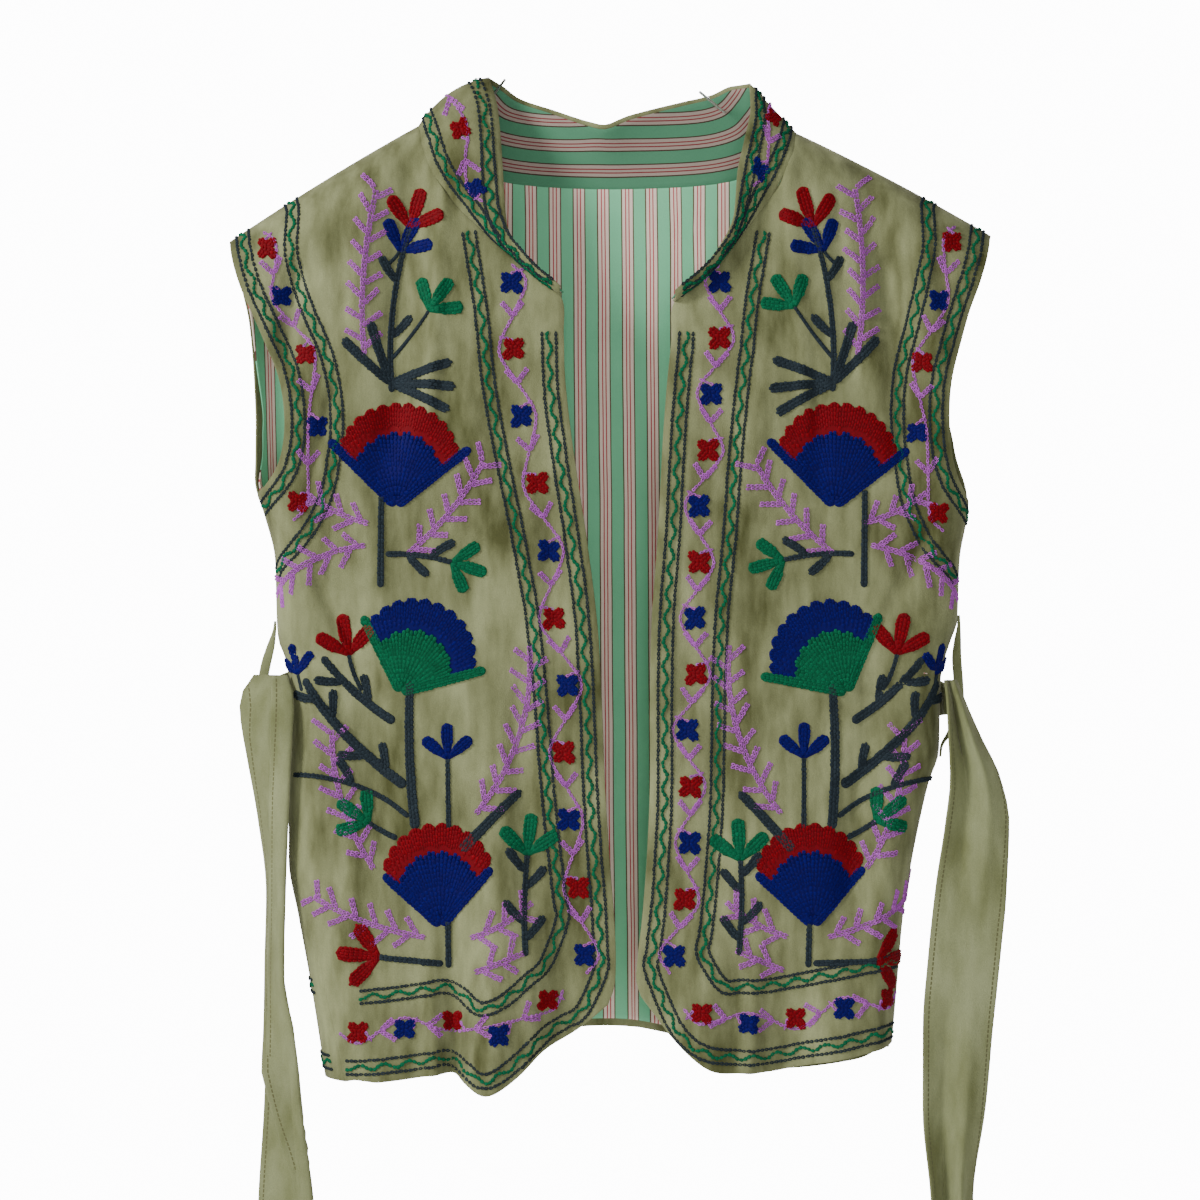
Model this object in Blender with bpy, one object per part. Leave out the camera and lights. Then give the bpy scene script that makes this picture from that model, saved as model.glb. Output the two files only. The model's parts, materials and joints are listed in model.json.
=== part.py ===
"""An open-fronted velvet waistcoat hanging from two wall pins by its stand collar.

Frame: +Z up, the wall is the plane Y = 0, the garment hangs on its -Y side, and
+X is the wearer's left.  The origin lies in the wall, midway between the pins.
All sizes below are in millimetres.
"""
import math
from collections import namedtuple

import bpy
import numpy as np

# ---- driving dimensions, millimetres -------------------------------------------------
METRE = 0.001

VELVET_WALL = 1.5
LINING_WALL = 1.0
SASH_WALL = 1.8
SEAM_GAP = 0.3
LINING_GAP = 0.6
LINING_INSET = 5.0          # velvet turned in past the lining along every free edge
COLLAR_INSET = 2.5          # the same along the collar's top edge
SHOULDER_INSET = 0.2        # the same at the shoulder tips, over SHOULDER_ROWS rows
SHOULDER_ROWS = 5

SHOULDER_Y = -28.0          # depth of the shoulder ridge in front of the wall
FRONT_ROLL_DROP = 42.0      # height over which a front rolls over the shoulder ridge
FRONT_ROLL_REACH = 27.0
BACK_ROLL_DROP = 30.0
BACK_ROLL_REACH = 18.0

HEM_BLEND = 110.0           # height over which level rows turn into the hem's line

SASH_WIDTH = 47.0
SASH_RUN_Z = -398.0         # middle of the sash's run across the back
SASH_RUN_Y = -3.5

PIN_RADIUS = 0.9
PIN_HOLE = 1.5

# Body of the garment seen from the front: half widths to the silhouette on the
# wearer's right (-X) and left (+X), and the depths of the two flat faces.
Torso = namedtuple("Torso", "height right_half left_half front_y back_y")
TORSO = [
    Torso(20, 286, 286, -52, -11),
    Torso(-100, 280, 280, -55, -10),
    Torso(-150, 246, 247, -58, -9.5),
    Torso(-200, 240, 241, -60, -9.5),
    Torso(-255, 236, 239, -61, -9.5),
    Torso(-280, 228, 237, -60, -9.5),
    Torso(-310, 221, 232, -59, -9.5),
    Torso(-350, 220, 230.5, -57, -9.5),
    Torso(-362, 219, 226.5, -57, -9.5),
    Torso(-376, 214, 222, -56, -9.5),
    Torso(-390, 212, 219.5, -56, -9.5),
    Torso(-435, 211, 218.5, -57, -9.5),
    Torso(-457, 211.5, 211.5, -58, -9.5),
    Torso(-480, 212, 206, -59, -9.5),
    Torso(-507, 212, 200.5, -60, -9.5),
    Torso(-544, 205.5, 194.5, -62, -9.5),
    Torso(-587, 197.5, 190.5, -64, -10),
    Torso(-650, 187.5, 185, -66, -11),
    Torso(-690, 182, 182, -67, -11),
]

# Where the side seam lies on the rounded side: 0 faces the viewer, 90 is the silhouette.
SideSeam = namedtuple("SideSeam", "height right_angle left_angle")
SIDE_SEAM = [
    SideSeam(-250, 90, 95),
    SideSeam(-430, 88, 98),
    SideSeam(-480, 72, 100),
    SideSeam(-510, 56, 100),
    SideSeam(-553, 46, 99),
    SideSeam(-587, 37, 97),
    SideSeam(-650, 27, 94),
]

# Cut of a front, row by row from the shoulder to the hem.  Outer points run down the
# armhole and then the side seam (SEAM); edge points run down the neck and the front edge.
SEAM = None
FrontRow = namedtuple("FrontRow", "outer outer_height edge edge_height")
FRONT_RIGHT = [
    FrontRow(252, -98.5, 126, -21),
    FrontRow(248, -113, 124, -36),
    FrontRow(239, -138, 116, -56),
    FrontRow(227, -164, 100, -78),
    FrontRow(216, -190, 79, -98),
    FrontRow(212, -220, 55, -118),
    FrontRow(216, -246, 32, -137),
    FrontRow(228, -262, 30, -163),
    FrontRow(SEAM, -271, 29, -192),
    FrontRow(SEAM, -296, 24, -236),
    FrontRow(SEAM, -334, 15, -296),
    FrontRow(SEAM, -376, 8, -352),
    FrontRow(SEAM, -420, 5, -405),
    FrontRow(SEAM, -466, 3, -458),
    FrontRow(SEAM, -512, 0, -505),
    FrontRow(SEAM, -556, -3, -545),
    FrontRow(SEAM, -592, -4, -572),
    FrontRow(SEAM, -624, -3, -589),
    FrontRow(SEAM, -650, 1, -601),
]
FRONT_LEFT = [
    FrontRow(253.5, -94.5, 124, -26),
    FrontRow(249, -110, 122, -40),
    FrontRow(241, -134, 115, -57),
    FrontRow(232, -163, 104, -75),
    FrontRow(224, -194, 87, -97),
    FrontRow(223, -226, 65, -122),
    FrontRow(228, -252, 43, -141),
    FrontRow(240, -268, 41, -166),
    FrontRow(SEAM, -276, 38, -196),
    FrontRow(SEAM, -300, 35, -238),
    FrontRow(SEAM, -337, 32, -296),
    FrontRow(SEAM, -377, 28, -352),
    FrontRow(SEAM, -418, 27, -405),
    FrontRow(SEAM, -462, 27, -457),
    FrontRow(SEAM, -506, 25, -503),
    FrontRow(SEAM, -546, 22, -542),
    FrontRow(SEAM, -578, 19, -568),
    FrontRow(SEAM, -606, 18, -584),
    FrontRow(SEAM, -628, 21, -595),
]
# Share of a front's width at each column, from the outer edge to the front edge.
FRONT_COLUMNS = [0, .04, .08, .12, .17, .24, .32, .38, .42, .46, .54, .64, .76, .88, 1]

SHOULDER_RISE = 2.0         # how much the middle of each shoulder seam arches up

# Hem lines as cut: distance out from the middle, height.
HemPoint = namedtuple("HemPoint", "across height")
HEM_RIGHT = [HemPoint(240, -648), HemPoint(172, -651), HemPoint(126, -646.5), HemPoint(103, -643.5),
             HemPoint(93, -651), HemPoint(84, -657), HemPoint(74, -655), HemPoint(58, -644),
             HemPoint(42, -629), HemPoint(20, -616), HemPoint(1, -600)]
HEM_LEFT = [HemPoint(240, -628), HemPoint(186, -629), HemPoint(142, -636.5), HemPoint(94, -644),
            HemPoint(70, -642.5), HemPoint(52, -634.5), HemPoint(39, -618), HemPoint(21, -595)]

# Back panel: outer points down both armholes; below the underarm it meets the side seams.
BackRow = namedtuple("BackRow", "right right_height left left_height")
BACK = [
    BackRow(252, -98.5, 253.5, -94.5),
    BackRow(250, -110, 250, -105),
    BackRow(248, -124, 243.5, -121),
    BackRow(244, -147, 235.5, -146),
    BackRow(241, -180, 226, -180),
    BackRow(240, -215, 227.5, -216),
    BackRow(240.6, -231, 230.8, -232),
    BackRow(242, -247, 235.5, -249),
    BackRow(SEAM, -271, SEAM, -276),
    BackRow(SEAM, -296, SEAM, -300),
    BackRow(SEAM, -334, SEAM, -337),
    BackRow(SEAM, -376, SEAM, -377),
    BackRow(SEAM, -420, SEAM, -418),
    BackRow(SEAM, -466, SEAM, -462),
    BackRow(SEAM, -512, SEAM, -506),
    BackRow(SEAM, -556, SEAM, -546),
    BackRow(SEAM, -592, SEAM, -578),
    BackRow(SEAM, -624, SEAM, -606),
    BackRow(SEAM, -650, SEAM, -628),
]
# The back's top edge from one shoulder tip to the other, through the neckline; its
# shoulder points lie on the fronts' shoulder seams.
SHOULDER = None
BackTop = namedtuple("BackTop", "x height")
BACK_TOP = [
    BackTop(-252, SHOULDER), BackTop(-243, SHOULDER), BackTop(-233, SHOULDER),
    BackTop(-221, SHOULDER), BackTop(-206, SHOULDER), BackTop(-170, SHOULDER),
    BackTop(-126, SHOULDER), BackTop(-113, -36), BackTop(-97, -49), BackTop(-66, -57.5),
    BackTop(-22, -61), BackTop(24, -61), BackTop(72, -58), BackTop(100, -50),
    BackTop(113, -40), BackTop(124, SHOULDER), BackTop(168, SHOULDER), BackTop(207, SHOULDER),
    BackTop(222, SHOULDER), BackTop(234, SHOULDER), BackTop(244, SHOULDER),
    BackTop(253.5, SHOULDER),
]
BACK_HEM = [HemPoint(-240, -650), HemPoint(-150, -648), HemPoint(-80, -636), HemPoint(-30, -622),
            HemPoint(20, -620), HemPoint(55, -632), HemPoint(90, -650), HemPoint(150, -645),
            HemPoint(240, -628)]

# Folds: a soft ridge (depth > 0, towards the viewer) or trough along a straight line.
# Across is the distance out from the middle on fronts, and plain X on the back.
Fold = namedtuple("Fold", "across_top top across_end end width depth_top depth_end")
FOLDS_RIGHT = [
    Fold(128, -40, 142, -215, 12, -3, -5),
    Fold(204, -125, 211, -176, 9, -4, -4),
    Fold(76, -450, 74, -700, 26, 0, 17),
    Fold(100, -530, 100, -700, 7, 0, -9),
    Fold(140, -470, 138, -700, 24, 0, 6),
    Fold(26, -520, 20, -700, 16, 0, -8),
    Fold(206, -372, 150, -402, 13, -3, -1),
    Fold(180, -290, 150, -470, 18, -2, -3),
]
FOLDS_LEFT = [
    Fold(166, -48, 184, -140, 13, -4, -5),
    Fold(184, -130, 194, -236, 12, -5, -3),
    Fold(172, -398, 160, -520, 13, -2, -5),
    Fold(66, -500, 62, -700, 20, 0, 8),
    Fold(120, -560, 118, -700, 15, 0, -6),
    Fold(150, -540, 152, -700, 16, 0, 7),
    Fold(30, -540, 30, -700, 12, 0, -5),
    Fold(206, -385, 148, -410, 13, -3, -1),
]
FOLDS_BACK = [
    Fold(-165, -150, -150, -640, 26, 1, 4),
    Fold(-95, -230, -88, -700, 24, -1, -3),
    Fold(-20, -200, -24, -700, 28, 1, 5),
    Fold(60, -260, 66, -700, 22, -1, -3),
    Fold(140, -180, 132, -700, 30, 1, 5),
]
FOLD_FADE = 26.0            # folds die out over this distance from a side seam

# The collar's top edge, from the wearer's right end, round the back, to the left end.
# Along is the share of the neckline's length at which each point stands.
# Bulge is how far the collar's middle swells out.
CollarTop = namedtuple("CollarTop", "along x y z bulge")
COLLAR_TOP = [
    CollarTop(0.00, -32, -64, -131, 2),
    CollarTop(0.05, -52, -66, -114, 3),
    CollarTop(0.10, -67, -64, -91, 3),
    CollarTop(0.15, -69, -60, -65, 4),
    CollarTop(0.20, -71, -50, -37, 5),
    CollarTop(0.24, -74, -37, -9, 6),
    CollarTop(0.27, -80, -26, 11.5, 6.5),
    CollarTop(0.31, -71, -17, 7, 5),
    CollarTop(0.345, -60, -15, -1, 3),
    CollarTop(0.40, -38, -18, -9, 2),
    CollarTop(0.47, -12, -23, -18, 2),
    CollarTop(0.51, -3, -25, -20, 2),
    CollarTop(0.55, 12, -23, -14, 2),
    CollarTop(0.63, 48, -17, -4, 2),
    CollarTop(0.68, 68, -15, 1, 2),
    CollarTop(0.71, 82, -16, 7, 1.5),
    CollarTop(0.745, 94, -23, 8, 0),
    CollarTop(0.777, 94, -35, -8, 0),
    CollarTop(0.82, 89, -50, -34, 1),
    CollarTop(0.86, 84, -60, -57, 3),
    CollarTop(0.905, 82, -65, -84, 3),
    CollarTop(0.95, 67, -66, -113, 3),
    CollarTop(1.00, 43, -64, -134, 2),
]
COLLAR_ROWS = [0.0, 0.2, 0.45, 0.72, 1.0]

# Tails of the sash: each row gives the creases' places across the view.
# The wearer's right tail is folded over lengthwise: edge, fold and other edge, which
# stands no further from the fold than the cloth left behind the flap reaches.
RightTail = namedtuple("RightTail", "height edge fold far flap fold_y gather")
TAIL_RIGHT = [
    RightTail(-386, -222, -212, -235, 11, -45, .3),
    RightTail(-402, -221, -207.5, -243, 10.5, -54, 0),
    RightTail(-441, -222, -209, -238, 15, -57, 0),
    RightTail(-480, -223, -211, -232, 16, -57, 0),
    RightTail(-530, -223, -213, -227, 16, -56, 0),
    RightTail(-580, -224, -214, -228, 18, -55, 0),
    RightTail(-622, -225, -207, -228, 21, -54, 0),
    RightTail(-670, -227, -202, -230, 27, -51, 0),
    RightTail(-732, -231, -195, -233, 37, -48, 0),
    RightTail(-800, -233, -193, -228, 41, -46, 0),
    RightTail(-870, -232, -193, -225, 40, -46, 0),
    RightTail(-945, -230, -192, -222, 39, -46, 0),
]
# The wearer's left tail opens from gathers to its full width: both edges.
LeftTail = namedtuple("LeftTail", "height inner outer front_y gather")
TAIL_LEFT = [
    LeftTail(-389, 221, 229, -46, .6),
    LeftTail(-402, 222, 234, -52, .35),
    LeftTail(-427, 223, 245, -54, .1),
    LeftTail(-452, 224, 257, -54, 0),
    LeftTail(-482, 221, 263, -52, 0),
    LeftTail(-525, 214.5, 261, -51, 0),
    LeftTail(-573, 209.5, 256.5, -50, 0),
    LeftTail(-615, 206.5, 252.5, -49, 0),
    LeftTail(-670, 206.5, 248, -49, 0),
    LeftTail(-732, 212, 240, -50, 0),
    LeftTail(-800, 214, 243, -50, 0),
    LeftTail(-870, 213, 250, -49, 0),
    LeftTail(-950, 211, 255, -48, 0),
]

TAIL_STEP = 40.0            # spacing of the tails' cross sections

# Run of the sash behind the back and round to the loops: centre line, height of the
# cloth and its bunched thickness.
SashRun = namedtuple("SashRun", "x y z tall thick")
SASH_RUN = [
    SashRun(-220.0, -33.0, -397.0, 19, 6.0),
    SashRun(-219.4, -24.0, -397.0, 21, 5.2),
    SashRun(-214.5, -12.5, -397.0, 26, 4.2),
    SashRun(-203.0, -5.2, -397.0, 34, 3.0),
    SashRun(-186.0, SASH_RUN_Y, -397.5, 43, 2.2),
    SashRun(-150.0, SASH_RUN_Y, SASH_RUN_Z, SASH_WIDTH, SASH_WALL),
    SashRun(-75.0, SASH_RUN_Y, SASH_RUN_Z - 1.5, SASH_WIDTH, SASH_WALL),
    SashRun(0.0, SASH_RUN_Y, SASH_RUN_Z - 2.0, SASH_WIDTH, SASH_WALL),
    SashRun(75.0, SASH_RUN_Y, SASH_RUN_Z - 1.5, SASH_WIDTH, SASH_WALL),
    SashRun(156.0, SASH_RUN_Y, SASH_RUN_Z, SASH_WIDTH, SASH_WALL),
    SashRun(188.0, SASH_RUN_Y, -399.0, 43, 2.2),
    SashRun(205.0, -5.2, -400.0, 34, 3.0),
    SashRun(217.0, -12.5, -401.0, 26, 4.2),
    SashRun(223.4, -24.0, -402.0, 21, 5.0),
    SashRun(224.4, -33.0, -402.0, 19, 5.4),
]

# Loops of velvet sewn to the side seams, round the sash: the middle of the strip, seen
# from the front, and its width, narrow where it enters the seam.
LoopPoint = namedtuple("LoopPoint", "x z wide")
LOOP_RIGHT = [
    LoopPoint(-221.6, -350, 1.6), LoopPoint(-222.2, -357, 2.6), LoopPoint(-224.6, -367, 5.4),
    LoopPoint(-227.6, -378, 6.6), LoopPoint(-229.6, -389, 6.6), LoopPoint(-230.0, -400, 6.0),
    LoopPoint(-227.0, -410, 5.0), LoopPoint(-220.6, -419, 3.4), LoopPoint(-214.2, -427, 2.0),
    LoopPoint(-212.9, -435, 1.6),
]
LOOP_LEFT = [
    LoopPoint(232.2, -346, 1.6), LoopPoint(232.2, -354, 2.6), LoopPoint(231.4, -363, 4.8),
    LoopPoint(230.8, -374, 6.4), LoopPoint(231.6, -386, 6.6), LoopPoint(232.4, -397, 6.4),
    LoopPoint(232.6, -406, 5.8), LoopPoint(230.0, -416, 4.6), LoopPoint(225.4, -425, 3.2),
    LoopPoint(221.0, -432, 2.0), LoopPoint(219.8, -440, 1.6),
]
LOOP_Y = -28.5
LOOP_WALL = 2.0

# Wall pins: the end in the wall and the free end.
Pin = namedtuple("Pin", "name wall free")
PINS = [
    Pin("pin_right", (-87, 0, -8), (-69, -36, 8)),
    Pin("pin_left", (89, 0, -17), (60, -36, 0)),
]


# ---- small helpers -------------------------------------------------------------------
def column(rows, name):
    return [getattr(row, name) for row in rows]


def curve_at(keys, values, key):
    """Smooth curve through the rows of a table, without overshooting them."""
    keys = np.asarray(keys, float)
    values = np.asarray(values, float)
    if keys[0] > keys[-1]:
        keys = keys[::-1]
        values = values[::-1]
    steps = np.diff(keys)
    slopes = np.diff(values) / steps
    tangents = np.empty(len(keys))
    tangents[0] = slopes[0]
    tangents[-1] = slopes[-1]
    for i in range(1, len(keys) - 1):
        before, after = slopes[i - 1], slopes[i]
        level = before * after <= 0.0
        tangents[i] = 0.0 if level else 2.0 * before * after / (before + after)
    at = min(max(key, keys[0]), keys[-1])
    i = min(max(int(np.searchsorted(keys, at)) - 1, 0), len(steps) - 1)
    h = steps[i]
    t = (at - keys[i]) / h
    start = (2 * t ** 3 - 3 * t ** 2 + 1) * values[i] + (t ** 3 - 2 * t ** 2 + t) * h * tangents[i]
    end = (-2 * t ** 3 + 3 * t ** 2) * values[i + 1] + (t ** 3 - t ** 2) * h * tangents[i + 1]
    return float(start + end)


def smooth_step(value):
    value = min(max(value, 0.0), 1.0)
    return value * value * (3.0 - 2.0 * value)


def unit(vector):
    return vector / np.linalg.norm(vector)


def roll_length(drop, reach):
    """Length of cloth in the quarter ellipse that rolls over the shoulder."""
    return math.pi / 2 * math.sqrt((drop ** 2 + reach ** 2) / 2)


FRONT_ROLL = roll_length(FRONT_ROLL_DROP, FRONT_ROLL_REACH)
BACK_ROLL = roll_length(BACK_ROLL_DROP, BACK_ROLL_REACH)
FRONT_ALLOWANCE = FRONT_ROLL - FRONT_ROLL_DROP
BACK_ALLOWANCE = BACK_ROLL - BACK_ROLL_DROP


# ---- how the cloth hangs -------------------------------------------------------------
def torso_at(height, side):
    """Half width, front depth, back depth and side radius at one height."""
    half_name = "left_half" if side > 0 else "right_half"
    heights = column(TORSO, "height")
    half = curve_at(heights, column(TORSO, half_name), height)
    front_y = curve_at(heights, column(TORSO, "front_y"), height)
    back_y = curve_at(heights, column(TORSO, "back_y"), height)
    return half, front_y, back_y, (back_y - front_y) / 2


def shoulder_height(across, side):
    """Height of the shoulder ridge at a distance out from the middle."""
    rows = FRONT_LEFT if side > 0 else FRONT_RIGHT
    tip, neck = rows[0].outer, rows[0].edge
    share = (across - neck) / (tip - neck)
    inside = min(max(share, 0.0), 1.0)
    arch = 4 * SHOULDER_RISE * inside * (1 - inside)
    return rows[0].edge_height + share * (rows[0].outer_height - rows[0].edge_height) + arch


def fold_depth(folds, across, height):
    total = 0.0
    for fold in folds:
        share = (height - fold.top) / (fold.end - fold.top)
        if share < -0.3 or share > 1.3:
            continue
        middle = fold.across_top + share * (fold.across_end - fold.across_top)
        depth = fold.depth_top + min(max(share, 0.0), 1.0) * (fold.depth_end - fold.depth_top)
        fade = smooth_step((share + 0.3) / 0.3) * smooth_step((1.3 - share) / 0.3)
        total += depth * fade * math.exp(-((across - middle) / fold.width) ** 2)
    return total


def roll_over(below, length, drop):
    """Angle and height lost along the shoulder roll, at a distance below the seam."""
    angle = math.pi / 2 * min(max(below / length, 0.0), 1.0)
    lost = drop * (1 - math.cos(angle)) + max(below - length, 0.0)
    return angle, lost


def fade_at_seam(across, height, side, from_front):
    return smooth_step((seam_across(height, side, from_front) - across) / FOLD_FADE)


def round_side(across, half, radius):
    """Place across, and the share of the way round the side, of a flat distance out."""
    start = half - radius
    past = across - start
    if past <= 0:
        return across, 0.0
    angle = past / radius
    return start + radius * math.sin(angle), radius * (1 - math.cos(angle))


def hang_front(across, height, side):
    """Where a point of a front's flat cut hangs; side is -1 for the wearer's right."""
    half, front_y, _, radius = torso_at(height, side)
    x, wrapped = round_side(across, half, radius)
    folds = FOLDS_LEFT if side > 0 else FOLDS_RIGHT
    ridge = shoulder_height(across, side)
    below = ridge + FRONT_ALLOWANCE - height
    angle, lost = roll_over(below, FRONT_ROLL, FRONT_ROLL_DROP)
    fold = fold_depth(folds, across, height) * fade_at_seam(across, height, side, True)
    full = front_y + wrapped - fold
    y = SHOULDER_Y + (full - SHOULDER_Y) * math.sin(angle)
    return np.array([side * x, y, ridge - lost])


def hang_back(x, height):
    """Where a point of the back's flat cut hangs."""
    side = 1 if x > 0 else -1
    half, _, back_y, radius = torso_at(height, side)
    across, wrapped = round_side(abs(x), half, radius)
    ridge = shoulder_height(abs(x), side)
    below = ridge + BACK_ALLOWANCE - height
    angle, lost = roll_over(below, BACK_ROLL, BACK_ROLL_DROP)
    fold = fold_depth(FOLDS_BACK, x, height) * fade_at_seam(abs(x), height, side, False)
    full = back_y - wrapped - fold
    y = SHOULDER_Y + (full - SHOULDER_Y) * math.sin(angle)
    return np.array([side * across, y, ridge - lost])


def seam_across(height, side, from_front):
    """Flat distance out to the side seam, measured over the front or over the back."""
    half, _, _, radius = torso_at(height, side)
    name = "left_angle" if side > 0 else "right_angle"
    degrees = curve_at(column(SIDE_SEAM, "height"), column(SIDE_SEAM, name), height)
    angle = math.radians(degrees)
    if not from_front:
        angle = math.pi - angle
    return half - radius + radius * angle - SEAM_GAP / 2


def normal_of(hang, across, height, outward):
    """Outward normal of a hung panel, from two short steps over its flat cut."""
    step = 0.5
    sideways = hang(across + step, height) - hang(across - step, height)
    downwards = hang(across, height - step) - hang(across, height + step)
    return unit(np.cross(sideways, downwards)) * outward


# ---- flat cuts -----------------------------------------------------------------------
def front_cut(side):
    """Grid of flat points of a front: rows from shoulder to hem, columns to the front edge."""
    rows = FRONT_LEFT if side > 0 else FRONT_RIGHT
    hem = HEM_LEFT if side > 0 else HEM_RIGHT
    grid = []
    for number, row in enumerate(rows):
        outer_height = row.outer_height
        edge_height = row.edge_height
        outer = row.outer
        if outer is SEAM:
            outer = seam_across(outer_height, side, True)
        turn = smooth_step(1 - (outer_height - rows[-1].outer_height) / HEM_BLEND)
        line = []
        for share in FRONT_COLUMNS:
            across = outer + share * (row.edge - outer)
            level = outer_height + share * (edge_height - outer_height)
            last = rows[-1]
            hem_level = last.outer_height + share * (last.edge_height - last.outer_height)
            cut = curve_at(column(hem, "across"), column(hem, "height"), across)
            off_seam = smooth_step(share / 0.12)
            if number == 0:
                level = shoulder_height(across, side) + FRONT_ALLOWANCE - SEAM_GAP / 2
            line.append((across, level + turn * off_seam * (cut - hem_level)))
        grid.append(line)
    return grid


def back_cut():
    """Grid of flat points of the back: rows from the top edge to the hem."""
    left_tip = BACK_TOP[0].x
    span = BACK_TOP[-1].x - left_tip
    shares = [(point.x - left_tip) / span for point in BACK_TOP]
    top_heights = []
    for point in BACK_TOP:
        side = 1 if point.x > 0 else -1
        seam = shoulder_height(abs(point.x), side) + BACK_ALLOWANCE - SEAM_GAP / 2
        top_heights.append(seam if point.height is SHOULDER else point.height)
    hem_keys = column(BACK_HEM, "across")
    hem_heights = column(BACK_HEM, "height")
    grid = []
    for number, row in enumerate(BACK):
        right, left = row.right, row.left
        if right is SEAM:
            right = seam_across(row.right_height, -1, False)
            left = seam_across(row.left_height, 1, False)
        along = (BACK[0].right_height - row.right_height) / (BACK[0].right_height - BACK[-1].right_height)
        keep_top = (1 - along) ** 3
        turn = smooth_step(1 - (row.right_height - BACK[-1].right_height) / HEM_BLEND)
        line = []
        for share, top_height in zip(shares, top_heights):
            x = -right + share * (left + right)
            level = row.right_height + share * (row.left_height - row.right_height)
            top_level = BACK[0].right_height + share * (BACK[0].left_height - BACK[0].right_height)
            hem_level = BACK[-1].right_height + share * (BACK[-1].left_height - BACK[-1].right_height)
            height = level + keep_top * (top_height - top_level)
            off_seam = smooth_step(share / 0.08) * smooth_step((1 - share) / 0.08)
            height += turn * off_seam * (curve_at(hem_keys, hem_heights, x) - hem_level)
            line.append((x, height))
        grid.append(line)
    return grid


# ---- panels as grids of hung points and normals --------------------------------------
def hung_grid(cut, hang, outward):
    points = np.array([[hang(a, h) for a, h in line] for line in cut])
    normals = np.array([[normal_of(hang, a, h, outward) for a, h in line] for line in cut])
    return points, normals


def inset_places(points, top, bottom, first, last):
    """Fractional grid places of a copy whose chosen borders are drawn in."""
    rows, columns = points.shape[:2]
    places = np.zeros((rows, columns, 2))
    for i in range(rows):
        for j in range(columns):
            places[i, j] = (i, j)
    for j in range(columns):
        if top[j] > 0:
            places[0, j, 0] = min(top[j] / np.linalg.norm(points[1, j] - points[0, j]), 0.9)
        if bottom > 0:
            length = np.linalg.norm(points[-1, j] - points[-2, j])
            places[-1, j, 0] = rows - 1 - min(bottom / length, 0.9)
    for i in range(rows):
        if first[i] > 0:
            length = np.linalg.norm(points[i, 1] - points[i, 0])
            places[i, 0, 1] = min(first[i] / length, 0.9)
        if last[i] > 0:
            length = np.linalg.norm(points[i, -1] - points[i, -2])
            places[i, -1, 1] = columns - 1 - min(last[i] / length, 0.9)
    return places


def sample(grid, places):
    """Grid values at fractional places, on the flat triangles between the grid's points."""
    rows, columns = grid.shape[:2]
    result = np.empty(places.shape[:2] + (3,))
    for i in range(places.shape[0]):
        for j in range(places.shape[1]):
            down, over = places[i, j]
            r = min(int(down), rows - 2)
            c = min(int(over), columns - 2)
            dr, dc = down - r, over - c
            near, far = grid[r, c], grid[r + 1, c + 1]
            if dr > dc:
                corner = grid[r + 1, c]
                result[i, j] = near + (corner - near) * dr + (far - corner) * dc
            else:
                corner = grid[r, c + 1]
                result[i, j] = near + (corner - near) * dc + (far - corner) * dr
    return result


# ---- closed walls --------------------------------------------------------------------
def wall_mesh(outer, inner):
    """Vertices and triangles of a closed wall between two grids of points."""
    rows, columns = outer.shape[:2]
    count = rows * columns
    vertices = list(outer.reshape(-1, 3)) + list(inner.reshape(-1, 3))
    faces = []
    for i in range(rows - 1):
        for j in range(columns - 1):
            a = i * columns + j
            b, c, d = a + 1, a + columns + 1, a + columns
            faces += [(a, d, c), (a, c, b)]
            faces += [(a + count, c + count, d + count), (a + count, b + count, c + count)]
    border = [(0, j) for j in range(columns - 1)]
    border += [(i, columns - 1) for i in range(rows - 1)]
    border += [(rows - 1, j) for j in range(columns - 1, 0, -1)]
    border += [(i, 0) for i in range(rows - 1, 0, -1)]
    ring = [i * columns + j for i, j in border]
    for k, a in enumerate(ring):
        b = ring[(k + 1) % len(ring)]
        faces += [(a, b, b + count), (a, b + count, a + count)]
    return vertices, faces


def tube_mesh(sections):
    """Vertices and triangles of a closed tube through equal rings of points."""
    ring = len(sections[0])
    vertices = [point for section in sections for point in section]
    faces = []
    for i in range(len(sections) - 1):
        for j in range(ring):
            a = i * ring + j
            b = i * ring + (j + 1) % ring
            faces += [(a, b, b + ring), (a, b + ring, a + ring)]
    for start, flip in ((0, True), ((len(sections) - 1) * ring, False)):
        for j in range(1, ring - 1):
            face = (start, start + j, start + j + 1)
            faces.append(face[::-1] if flip else face)
    return vertices, faces


def signed_volume(vertices, faces):
    points = np.array(vertices)
    triangles = points[np.array(faces)]
    crossed = np.cross(triangles[:, 1], triangles[:, 2])
    return float(np.einsum("ij,ij->i", triangles[:, 0], crossed).sum() / 6)


def make_material(name, colour, roughness, metallic=0.0):
    material = bpy.data.materials.new(name)
    material.use_nodes = True
    shader = material.node_tree.nodes["Principled BSDF"]
    shader.inputs["Base Color"].default_value = (*colour, 1.0)
    shader.inputs["Roughness"].default_value = roughness
    shader.inputs["Metallic"].default_value = metallic
    return material


def make_object(name, vertices, faces, material):
    """One closed solid, its faces pointing out, shaded smooth."""
    if signed_volume(vertices, faces) < 0:
        faces = [face[::-1] for face in faces]
    mesh = bpy.data.meshes.new(name)
    mesh.from_pydata([tuple(float(c) * METRE for c in v) for v in vertices], [], faces)
    mesh.materials.append(material)
    mesh.shade_smooth()
    mesh.set_sharp_from_angle(angle=math.radians(50))
    solid = bpy.data.objects.new(name, mesh)
    bpy.context.collection.objects.link(solid)
    return solid


# ---- the pieces ----------------------------------------------------------------------
def make_velvet(name, points, normals, material):
    vertices, faces = wall_mesh(points, points - normals * VELVET_WALL)
    return make_object(name, vertices, faces, material)


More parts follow.
